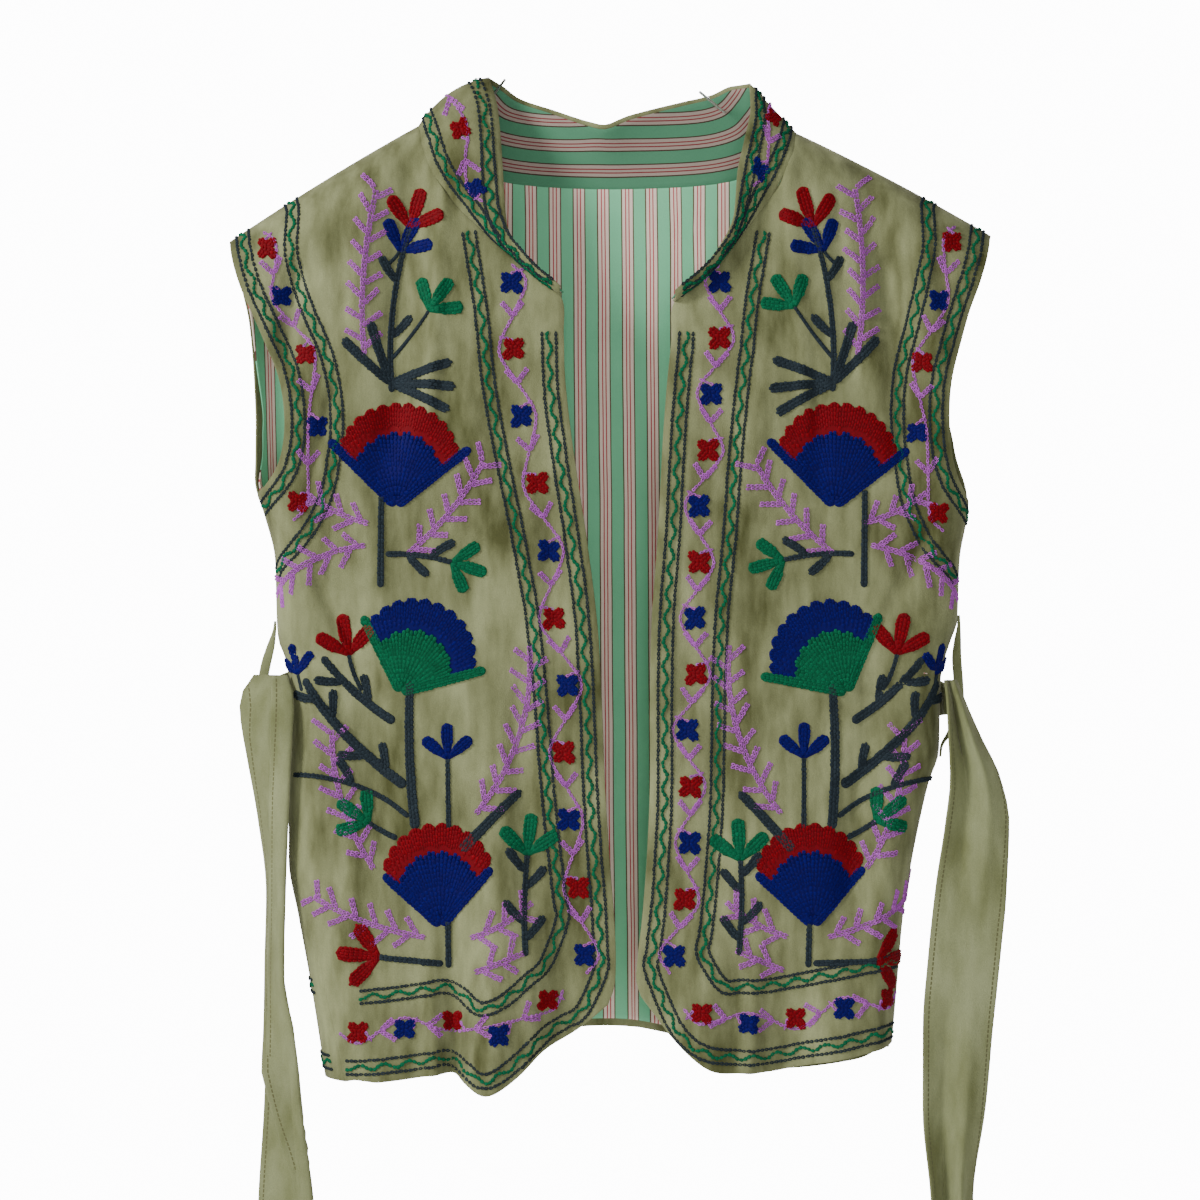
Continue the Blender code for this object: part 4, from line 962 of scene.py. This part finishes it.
# Loops: middle of the strip seen from the front, and its width.
loopTables = {
    "right": [(-221.6, -350, 1.6), (-222.2, -357, 2.6), (-224.6, -367, 5.4), (-227.6, -378, 6.6),
              (-229.6, -389, 6.6), (-230.0, -400, 6.0), (-227.0, -410, 5.0), (-220.6, -419, 3.4),
              (-214.2, -427, 2.0), (-212.9, -435, 1.6)],
    "left": [(232.2, -346, 1.6), (232.2, -354, 2.6), (231.4, -363, 4.8), (230.8, -374, 6.4),
             (231.6, -386, 6.6), (232.4, -397, 6.4), (232.6, -406, 5.8), (230.0, -416, 4.6),
             (225.4, -425, 3.2), (221.0, -432, 2.0), (219.8, -440, 1.6)],
}
for key, table in loopTables.items():
    fine = refine(np.array(table), 4)
    centres = np.stack([fine[:, 0], np.full(len(fine), -28.5), fine[:, 1]], -1)
    ahead = np.gradient(centres, axis=0)
    ahead /= np.linalg.norm(ahead, axis=1, keepdims=True)
    across = np.stack([-ahead[:, 2], np.zeros(len(ahead)), ahead[:, 0]], -1)
    depth = np.tile([0.0, 1.0, 0.0], (len(fine), 1))
    tube("loop" + key.title(), centres, fine[:, 2], np.full(len(fine), 2.0),
                      (across, depth), 16, sashVelvet)
    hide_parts("belt_loop_" + key)
for key in ("right", "left"):
    pin = frame["nodes"]["pin_" + key]
    pin.data.materials.clear()
    pin.data.materials.append(steel)
print("sash, loops and pins")

# Chain stitches are kept as rows: across, height, direction, length, width, lift, and how
# far the loop is drawn shut, 0 for an open chain and 1 for a packed filling.
rng = np.random.default_rng(7)
stitchPath = [(0, 0), (.35, .75), (.7, 1), (.98, .55), (.98, -.55), (.7, -1), (.35, -.75)]
ridgePath = [(.05, 0), (.36, .5), (.67, .68), (.84, .36), (.84, -.36), (.67, -.68), (.36, -.5)]
holePath = [(.2, 0), (.4, .2), (.62, .3), (.72, .14), (.72, -.14), (.62, -.3), (.4, -.2)]


def evenly(points, pitch):
    points = np.asarray(points, float)
    if len(points) > 2:
        points = refine(points, 8)
    lengths = np.concatenate([[0], np.cumsum(np.linalg.norm(np.diff(points, axis=0), axis=1))])
    count = max(int(round(lengths[-1] / pitch)), 1)
    at = np.linspace(0, lengths[-1], count + 1)
    return np.stack([np.interp(at, lengths, points[:, k]) for k in (0, 1)], -1)


def addRow(book, colour, placed, width, lift=0.85, over=1.24, shut=0.0):
    # One row of chain stitches whose starts and ends are the placed points.
    step = np.diff(placed, axis=0)
    length = np.linalg.norm(step, axis=1)
    rows = np.column_stack([placed[:-1], step / np.maximum(length, 1e-6)[:, None], length * over,
                            np.broadcast_to(width, len(step)), np.full(len(step), lift),
                            np.full(len(step), shut)])
    book.setdefault(colour, {"rows": [], "pads": []})["rows"].append(rows)


def addPad(book, colour, grid, rise):
    # A low cushion of thread under a filling: flat points in rows, sunk along its borders.
    share = np.linspace(-1, 1, grid.shape[1])
    lift = rise * (1 - 1.25 * share[None, :] ** 6) * np.ones((len(grid), 1))
    lift[0] = lift[-1] = -0.15
    book.setdefault(colour, {"rows": [], "pads": []})["pads"].append(np.dstack([grid, lift]))


def chain(book, colour, points, width=2.5, pitch=3.0, lift=0.85):
    addRow(book, colour, evenly(points, pitch), width, lift)


def offsetLine(points, distance):
    ahead = np.gradient(points, axis=0)
    ahead /= np.maximum(np.linalg.norm(ahead, axis=1, keepdims=True), 1e-9)
    return points + np.stack([-ahead[:, 1], ahead[:, 0]], -1) * np.asarray(distance)[..., None]


def fillAlong(book, colour, points, profile, pitch=3.0):
    # Parallel chain rows over a cushion; profile gives the width from start to end.
    line = evenly(points, 1.15)
    share = np.linspace(0, 1, len(line))
    widths = profile(share)
    travelled = share * np.linalg.norm(np.diff(line, axis=0), axis=1).sum()
    for distance in (travelled, travelled[-1] - travelled):
        reach = np.clip(distance / np.maximum(widths / 2, 0.6), 0, 1)
        widths = widths * np.sqrt(np.clip(1 - (1 - reach) ** 2, 0.02, 1))
    across = np.linspace(-0.5, 0.5, 7)
    addPad(book, colour, np.stack([offsetLine(line, k * widths) for k in across], 1), 0.75)
    count = max(int(round(widths.max() / 2.15)), 1)
    for row in range(count):
        position = (row - (count - 1) / 2) / count
        near = np.flatnonzero(widths > 2 * abs(position) * widths.max() * 0.9 + 0.8)
        if len(near) < 4:
            continue
        path = offsetLine(line, position * np.minimum(widths, widths.max()))[near[0]:near[-1] + 1]
        addRow(book, colour, evenly(path, pitch), min(2.5, 1.1 * widths.max() / count), 1.15, 1.28, 0.8)


def band(start, end):
    # The width of a stroke that tapers evenly.
    return lambda share: start + (end - start) * share


def petalProfile(width):
    return lambda share: width * (0.45 + 0.55 * smoothStep(share / 0.6))


def tulip(book, base, tip, spread, width, colour):
    base, tip = np.array(base, float), np.array(tip, float)
    stem = tip - base
    for degrees, scale in ((0, 1.0), (spread, 0.9), (-spread, 0.9)):
        turn = math.radians(degrees)
        aim = np.array([stem[0] * math.cos(turn) - stem[1] * math.sin(turn),
                        stem[0] * math.sin(turn) + stem[1] * math.cos(turn)]) * scale
        fillAlong(book, colour, [base - aim * 0.04, base + aim], petalProfile(width * 0.84))


def scallop(offset, half, radius, lobe):
    # 0 in the notches and 1 on the lobes along a rim.
    lobes = max(int(round(2 * half * radius / lobe)), 2)
    return abs(math.sin(math.pi * lobes * (offset / half + 1) / 2)) ** 0.7


def fan(book, base, axis, half, inner, outer, innerColour, rimColour, wingSide, wingFront):
    # Radial rows, every other one starting further out, so that they stay packed all the way.
    base = np.array(base, float)
    half = math.radians(half)
    rays = max(int(round(2 * half * outer / 2.1)), 4)

    def ray(colour, aim, start, end, rise):
        placed = evenly([base + aim * start, base + aim * end], 3.0)
        radius = np.linalg.norm((placed[:-1] + placed[1:]) / 2 - base, axis=1)
        stride = 2 ** np.ceil(np.log2(np.maximum(1.6 * rays / (2 * half * radius), 1)))
        width = np.minimum(2 * half * radius * stride / rays * 1.12, 2.7)
        addRow(book, colour, placed, width, 1.1 + rise, 1.28, 0.8)

    def borders(offset):
        # The two scalloped rims, drawn in towards the fan's sides.
        narrow = 1 - 0.2 * (offset / half) ** 2
        return ((inner - 2.6 + 3.4 * scallop(offset, half, inner, 10.0)) * narrow,
                (outer - 2.2 + 3.6 * scallop(offset, half, outer, 9.5)) * narrow)

    def aimAt(offset):
        angle = math.radians(axis) + offset
        return np.array([math.cos(angle), math.sin(angle)])

    offsets = np.linspace(-half, half, 3 * rays)
    for colour, near, far, rise in ((rimColour, 0.9, 1.0, 0.7), (innerColour, 0.04, 1.0, 0.85)):
        grid = []
        for offset in offsets:
            turnOver, rim = borders(offset)
            ends = (turnOver * near, rim) if colour == rimColour else (turnOver * near, turnOver)
            grid.append([base + aimAt(offset) * r for r in np.linspace(*ends, 7)])
        addPad(book, colour, np.array(grid), rise)
    for k in range(rays + 1):
        offset = (-half + 2 * half * k / rays) * 0.97
        aim = aimAt(offset)
        stride = 8 if k % 8 == 0 else 4 if k % 4 == 0 else 2 if k % 2 == 0 else 1
        start = max(1.6 * rays / (2 * half * stride), 5)
        turnOver, rim = borders(offset)
        if start < turnOver - 3:
            ray(innerColour, aim, start, turnOver - 2.4, 0.15)
        ray(rimColour, aim, max(turnOver + 1.0, start), rim - 1.4, 0.0)
    for sign, length in ((1, wingFront), (-1, wingSide)):
        aim = aimAt(sign * (half + 0.04))
        fillAlong(book, innerColour, [base, base + aim * length * 0.93], band(8.0, 6.0))


def twig(book, points):
    # A stem of two chains with nearly opposite pairs of leaves.
    line = evenly(points, 1.0)
    for offset in (-0.95, 0.95):
        path = offsetLine(line, np.full(len(line), offset))
        addRow(book, "lilac", evenly(path, 3.0), 2.1)
    ahead = np.gradient(line, axis=0)
    ahead /= np.linalg.norm(ahead, axis=1, keepdims=True)
    for at in range(5, len(line) - 3, 14):
        for side, slip in ((1, 0), (-1, 5)):
            root = min(at + slip, len(line) - 1)
            turn = math.radians(50 + rng.uniform(-7, 9)) * side
            aim = np.array([ahead[root, 0] * math.cos(turn) - ahead[root, 1] * math.sin(turn),
                            ahead[root, 0] * math.sin(turn) + ahead[root, 1] * math.cos(turn)])
            beside = np.array([-aim[1], aim[0]])
            length = rng.uniform(12, 15.5)
            for offset in (-0.95, 0.95):
                start = line[root] + beside * offset + aim
                addRow(book, "lilac", evenly([start, start + aim * (length - 1)], 3.0), 2.1)


def flower(book, centre, colour, size=7.6, tilt=45):
    # A clover of four broad lobes that meet in the middle.
    centre = np.array(centre, float)
    for k in range(4):
        angle = math.radians(tilt + 90 * k + rng.uniform(-7, 7))
        aim = np.array([math.cos(angle), math.sin(angle)])
        fillAlong(book, colour, [centre - aim * 0.8, centre + aim * size * rng.uniform(1.04, 1.2)],
                  lambda share: size * (0.62 + 0.36 * smoothStep(share / 0.6)), 2.4)


def wave(line, amplitude, wavelength):
    travelled = np.arange(len(line)) * np.linalg.norm(line[1] - line[0])
    return offsetLine(line, amplitude * np.sin(travelled / wavelength * 2 * math.pi))


def triple(book, points, gap):
    line = evenly(points, 1.0)
    addRow(book, "green", evenly(wave(line, 1.7, 16), 2.9), 2.7, 1.0, 1.3, 0.8)
    for offset in (-gap, gap):
        beside = offsetLine(line, np.full(len(line), offset))
        addRow(book, "charcoal", evenly(beside, 3.0), 2.4, 0.85, 1.24, 0.35)


def vine(book, flowers, swing=9.5, size=7.6):
    # A chain that passes the flowers on alternate sides, a leaf pair between each two.
    centres = np.array([point for point, _ in flowers], float)
    ahead = np.gradient(centres, axis=0)
    ahead /= np.linalg.norm(ahead, axis=1, keepdims=True)
    beside = np.stack([-ahead[:, 1], ahead[:, 0]], -1)
    path = [centres[0] - ahead[0] * 12]
    for k in range(len(centres)):
        side = swing * (1 if k % 2 else -1)
        path.append(centres[k] + beside[k] * side)
        if k < len(centres) - 1:
            path.append((centres[k] + centres[k + 1]) / 2)
    path.append(centres[-1] + ahead[-1] * 12)
    line = evenly(path, 1.0)
    addRow(book, "lilac", evenly(line, 3.0), 2.3)
    for k in range(len(centres)):
        side = 1 if k % 2 else -1
        if k < len(centres) - 1:
            middle = (centres[k] + centres[k + 1]) / 2
            for degrees in (38, -38):
                turn = math.radians(degrees)
                aim = np.array([ahead[k, 0] * math.cos(turn) - ahead[k, 1] * math.sin(turn),
                                ahead[k, 0] * math.sin(turn) + ahead[k, 1] * math.cos(turn)])
                across = np.array([-aim[1], aim[0]])
                for offset in (-0.9, 0.9):
                    root = middle + across * offset
                    addRow(book, "lilac", evenly([root, root - aim * 11], 2.8), 2.0)
        stem = centres[k] + beside[k] * side * swing * 0.95
        chain(book, "lilac", [stem - ahead[k] * 9, centres[k] - ahead[k] * size * 0.8], 2.1)
    for point, colour in flowers:
        flower(book, point, colour, size)


def bent(root, heading, length, bend):
    # Points along a stem that turns steadily. Heading 0 is towards the side seam and 90 is up.
    points = [np.array(root, float)]
    for k in range(stemSteps):
        angle = math.radians(heading + bend * (k + 0.5) / stemSteps)
        points.append(points[-1] + np.array([math.cos(angle), math.sin(angle)]) * length / stemSteps)
    return np.array(points)


def sprig(book, root, heading, length, bend, thick, leaves, colour, size):
    # A stem with leaves on alternate sides and, where a colour is given, a tulip at its tip.
    points = bent(root, heading, length, bend)
    fillAlong(book, "charcoal", points, band(thick, thick * 0.75))
    for k in range(leaves):
        share = (k + 1) / (leaves + 1)
        side = -1 if k % 2 else 1
        foot = points[int(round(share * stemSteps))]
        leaf = bent(foot, heading + bend * share + side * leafAngle, leafLength, -side * 16)
        fillAlong(book, "charcoal", leaf, band(5.0, 6.5))
    if colour:
        angle = math.radians(heading + bend)
        tip = points[-1] + np.array([math.cos(angle), math.sin(angle)]) * size
        tulip(book, points[-1], tip, 50, size * 0.42, colour)


class Front:
    # The lines and places that the embroidery of one front follows, from its cut.
    def __init__(self, cut, hem, side, borderGaps):
        self.side = side
        self.edge = curveOf(cut[7:, -1, 1], cut[7:, -1, 0])
        self.hem = curveOf([point[0] for point in hem], [point[1] for point in hem])
        self.borderGap = curveOf([-94, -165, -560], borderGaps)
        self.armEdge = evenly(cut[:9, 0], 4)
        lower = [-335, -420, -500, -600]
        seams = [float(seamAcross(height, side, True)) - 14 for height in lower]
        self.fieldEnd = curveOf([-60, -130, -210, -260] + lower, [205, 192, 183, 188] + seams)

    def spot(self, share, height):
        # A place in the field between the inner border and the armhole's border or the side.
        start = float(self.edge(height) + self.borderGap(height)) + 8
        return np.array([start + share * (float(self.fieldEnd(height)) - start), height])

    def downAndAlong(self, top, fromEdge, fromHem, end):
        # A line down the front and along the hem, rounded where it turns.
        step, turn = 11, 12
        corner = float(self.edge(-560)) + fromEdge(-560)
        cornerHeight = float(self.hem(corner)) + fromHem
        down = [(float(self.edge(height)) + fromEdge(height), height)
                for height in np.arange(top, cornerHeight + turn, -step)]
        along = [(across, float(self.hem(across)) + fromHem) for across in np.arange(corner + turn, end, step)]
        return down + along

    def roundArmhole(self, distances):
        # A line inside the armhole, ending before the side seam.
        shares = np.linspace(0, 1, len(self.armEdge))
        line = offsetLine(self.armEdge, -curveOf([0, 0.45, 0.75, 1], distances)(shares))
        return line[line[:, 0] < seamAcross(line[:, 1], self.side, True) - 5]


def embroider(front, flowers, firstHemFlower):
    # All the embroidery of one front.
    book = {}
    hemEnd = float(seamAcross(-600, front.side, True)) - 12
    armInner, armOuter = [44, 34, 34, 52], [9, 9, 9, 9]
    innerArm = front.roundArmhole(armInner)
    shoulderX = innerArm[0, 0] + 3
    shoulderTop = float(shoulderHeight(shoulderX, front.side)) + frontRoll - frontDrop - 5
    triple(book, front.downAndAlong(-94, lambda height: float(front.borderGap(height)), 56, hemEnd), 4.1)
    triple(book, front.downAndAlong(-160, lambda height: 9.5, 10, hemEnd), 4.5)
    triple(book, np.concatenate([[(shoulderX, shoulderTop)], innerArm]), 4.1)
    triple(book, front.roundArmhole(armOuter), 4.2)
    colours = ("navy", "red")
    heights = np.linspace(-128, -568, flowers)
    middles = [float(front.edge(height)) + (9.5 + float(front.borderGap(height))) / 2 for height in heights]
    vine(book, [((middles[k] + rng.uniform(-3, 3), height), colours[k % 2]) for k, height in enumerate(heights)])
    hemPlaces = firstHemFlower + 31 * np.arange(5)
    vine(book, [((across, float(front.hem(across)) + 33 + rng.uniform(-3, 3)), colours[(k + 1) % 2])
                for k, across in enumerate(hemPlaces)], 7, 7.0)
    armMiddle = front.roundArmhole([(a + b) / 2 for a, b in zip(armInner, armOuter)])
    armPlaces = np.linspace(0.14, 0.9, 5) * (len(armMiddle) - 1)
    vine(book, [(armMiddle[int(at)], colours[(k + 1) % 2]) for k, at in enumerate(armPlaces)], 6, 6.8)
    for share, height, axis, half, inner, outer, innerColour, rimColour, wingSide, wingFront in fans:
        fan(book, front.spot(share, height), axis + rng.uniform(-4, 4), half, inner, outer, innerColour, rimColour,
            wingSide, wingFront)
    for share, height, heading, length, bend, thick, leaves, colour, size in sprigs:
        sprig(book, front.spot(share, height), heading + rng.uniform(-3, 3), length * rng.uniform(0.96, 1.04), bend,
              thick, leaves, colour, size)
    for heading in footLeaves:
        fillAlong(book, "charcoal", bent(front.spot(0.58, -194), heading + rng.uniform(-3, 3), 42, 6), band(5.5, 7))
    for share, height, heading, length, bend in twigs:
        twig(book, bent(front.spot(share, height), heading + rng.uniform(-3, 3), length, bend))
    return book


def sewStitches(name, book, place):
    # Raises every stitch of a panel as one joined mesh to a colour.
    pieces = []
    outline = np.array(stitchPath + ridgePath + holePath)
    heights = np.repeat([-0.12, 1.0, 0.3], 7)
    quads = []
    for ring in (0, 7):
        for k in range(7):
            n = (k + 1) % 7
            quads.append((ring + k, ring + n, ring + 7 + n, ring + 7 + k))
    quads = np.array(quads)
    for colour, parts in sorted(book.items()):
        rows = np.concatenate(parts["rows"])
        rows[:, :2] += rng.normal(0, 0.12, (len(rows), 2))
        x, h, dx, dy, length, width, lift, shut = rows.T
        point, normal = place(x, h)
        eastward = place(x + 1.0, h)[0] - place(x - 1.0, h)[0]
        upward = place(x, h + 1.0)[0] - place(x, h - 1.0)[0]
        forward = (eastward * dx[:, None] + upward * dy[:, None]) / 2
        forward -= normal * (forward * normal).sum(1, keepdims=True)
        forward /= np.maximum(np.linalg.norm(forward, axis=1, keepdims=True), 1e-9)
        sideways = np.cross(normal, forward)
        scale = length * rng.normal(1, 0.05, len(rows))
        spread = width * rng.normal(1, 0.06, len(rows)) / 2
        hole = np.repeat([0.0, 0.0, 1.0], 7)[None, :] * shut[:, None]
        along = (outline[None, :, 0] * (1 - 0.75 * hole) + 0.56 * 0.75 * hole) * scale[:, None]
        out = outline[None, :, 1] * (1 - 0.75 * hole) * spread[:, None]
        vertices = (point[:, None] + forward[:, None] * along[..., None] + sideways[:, None] * out[..., None]
                    + normal[:, None] * ((heights[None, :] + 0.6 * hole) * lift[:, None])[..., None])
        faces = (quads[None] + 21 * np.arange(len(rows))[:, None, None]).reshape(-1, 4)
        # Painted light on each stitch: the ridge is lightened as a painted highlight, and the base ring and the
        # hole are darkened as painted shade; a random tone per stitch goes over it.
        paintedRidgeAndHoleLight = np.repeat([0.7, 1.1, 0.62], 7)[None, :] + 0.42 * hole
        toneWithPaintedLight = rng.normal(1.0, 0.1, len(rows))[:, None] * paintedRidgeAndHoleLight
        vertices, tonesWithPaintedLight, quadLists = [vertices.reshape(-1, 3)], [toneWithPaintedLight.ravel()], [faces]
        total = len(vertices[0])
        for pad in parts["pads"]:
            quadLists.append(gridQuads(pad.shape[0], pad.shape[1], total))
            vertices.append(place(pad[..., 0], pad[..., 1], pad[..., 2])[0].reshape(-1, 3))
            # The cushions under fillings get painted shade, a little darker than the stitches over them.
            tonesWithPaintedLight.append(np.full(pad.shape[0] * pad.shape[1], 0.86))
            total += pad.shape[0] * pad.shape[1]
        pieces.append(makeObject(name + colour.title(), np.concatenate(vertices), np.concatenate(quadLists),
                                 threads[colour], toneWithPaintedLight=np.concatenate(tonesWithPaintedLight)))
        print(name, colour, len(rows), "stitches")
    return pieces


stemSteps = 6
leafAngle, leafLength = 50, 19
# Fans: share across the field, height, heading, half angle, inner and outer radius, colours, wings.
fans = [
    (0.56, -274, 90, 47, 50, 67, "navy", "red", 66, 66),
    (0.52, -396, 118, 49, 44, 63, "green", "navy", 60, 62),
    (0.48, -548, 90, 43, 50, 66, "navy", "red", 54, 54),
]
# Stems: share across the field, height, heading, length, bend, thickness, leaves, tulip and its size.
sprigs = [
    (0.58, -200, 88, 112, 22, 4.4, 2, "red", 27),
    (0.53, -118, 150, 16, -30, 3.0, 0, "navy", 25),
    (0.56, -178, 132, 42, -8, 3.0, 0, "green", 25),
    (0.56, -328, 90, 62, 0, 5.0, 0, None, 0),
    (0.56, -306, 176, 46, 20, 4.2, 2, "green", 24),
    (0.52, -486, 84, 94, 10, 7.0, 0, None, 0),
    (0.54, -458, 34, 96, 24, 7.5, 4, None, 0),
    (0.56, -416, 30, 64, 22, 6.5, 2, None, 0),
    (0.68, -396, 62, 26, 20, 3.4, 0, "red", 27),
    (0.93, -396, 70, 12, 10, 3.2, 0, "navy", 20),
    (0.54, -478, 38, 84, -44, 3.8, 1, None, 0),
    (0.60, -492, 24, 22, 14, 4.2, 0, "green", 25),
    (0.38, -486, 90, 48, 0, 3.6, 0, "navy", 23),
    (0.34, -500, 132, 54, 4, 7.6, 0, None, 0),
    (0.48, -576, 90, 30, 0, 4.4, 0, None, 0),
    (0.50, -573, 4, 44, 0, 4.6, 0, "red", 28),
    (0.12, -568, 84, 64, 10, 4.4, 4, "green", 27),
]
footLeaves = (204, 180, 157, 68, 42)
# Twigs: share across the field, height, heading, length, bend.
twigs = [
    (0.74, -176, 84, 108, 18), (0.46, -306, 142, 78, -22), (0.66, -300, -8, 76, -40),
    (0.68, -286, 14, 46, 24), (0.26, -476, 132, 118, -44), (0.72, -512, 58, 96, 34),
    (0.56, -556, 12, 78, 20), (0.36, -556, 160, 46, -24), (0.36, -578, 158, 34, 0),
]
rightBook = embroider(Front(rightCut, rightHem, -1, [62, 52, 33]), 11, 40)
leftBook = embroider(Front(leftCut, leftHem, 1, [60, 50, 42]), 13, 60)
rightThreads = sewStitches("stitchRight", rightBook, placeRight)
leftThreads = sewStitches("stitchLeft", leftBook, placeLeft)

# Collar: a border along the seam and another along the top edge, a vine between them.
collarLine = np.linspace(6, collarLengths[-1] - 6, 60)
collarRoom = np.interp(collarLine, collarLengths, collarHeights)
collarBook = {}
triple(collarBook, np.stack([collarLine, np.minimum(9, collarRoom * 0.3)], -1), 3.8)
triple(collarBook, np.stack([collarLine, np.maximum(collarRoom - 9, collarRoom * 0.68)], -1), 3.8)
collarFlowers = [((at, float(np.interp(at, collarLengths, collarHeights)) / 2), "red" if k % 2 else "navy")
                 for k, at in enumerate(np.linspace(96, 508, 11))]
vine(collarBook, collarFlowers, 5, 6.6)
collarThreads = sewStitches("stitchCollar", collarBook, placeCollar)

# Back: only the fronts' hem and armhole borders, carried round; its field is left plain.
backHemCurve = curveOf([point[0] for point in backHem], [point[1] for point in backHem])
backHemLine = [(x, float(backHemCurve(x)) + 11) for x in range(-226, 193, 11)]
backBook = {}
triple(backBook, backHemLine, 4.5)
triple(backBook, [(x, h + 49) for x, h in backHemLine], 4.1)
triple(backBook, [(-241, -112), (-236, -147), (-233, -182), (-232, -215), (-233, -250)], 4.2)
triple(backBook, [(241, -112), (227, -147), (218, -182), (219.5, -216), (227, -250)], 4.2)
backThreads = sewStitches("stitchBack", backBook, placeBack)
print("embroidery")

bpy.ops.mesh.primitive_circle_add(vertices=96, radius=1.6, fill_type="NGON", location=(0, -0.2, -1.1))
floor = bpy.context.object
floor.name = "floor"
floorMaterial, floorTree, floorShader = newMaterial("paleFloor", 0.8)
floorShader.inputs["Base Color"].default_value = (0.92, 0.92, 0.92, 1)
floor.data.materials.append(floorMaterial)
floor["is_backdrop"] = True

world = bpy.data.worlds.new("studio")
world.use_nodes = True
backdrop = world.node_tree.nodes["Background"]
backdrop.inputs["Color"].default_value = (0.93, 0.93, 0.94, 1)
lightPath = addNode(world.node_tree, "ShaderNodeLightPath")
toCamera = maths(world.node_tree, "MULTIPLY", lightPath.outputs["Is Camera Ray"], 14.0)
seen = maths(world.node_tree, "ADD", toCamera, 0.5)
world.node_tree.links.new(seen, backdrop.inputs["Strength"])
bpy.context.scene.world = world


def areaLight(name, location, aim, size, power):
    data = bpy.data.lights.new(name, "AREA")
    data.size, data.energy = size, power
    lamp = bpy.data.objects.new(name, data)
    lamp.location = location
    lamp.rotation_euler = (Vector(aim) - Vector(location)).to_track_quat("-Z", "Y").to_euler()
    bpy.context.scene.collection.objects.link(lamp)


areaLight("key", (-2.1, -1.4, 0.9), (0, 0, -0.35), 0.7, 80)
areaLight("front", (0.3, -2.9, 0.0), (0, 0, -0.35), 1.0, 20)
areaLight("rear", (0.6, 2.6, 0.7), (0, 0, -0.35), 1.4, 55)
print("stage")

total = 0
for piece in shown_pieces():
    count = sum(len(face.vertices) - 2 for face in piece.data.polygons)
    total += count
    print("triangles", piece.name, count)
print("triangles in all", total)
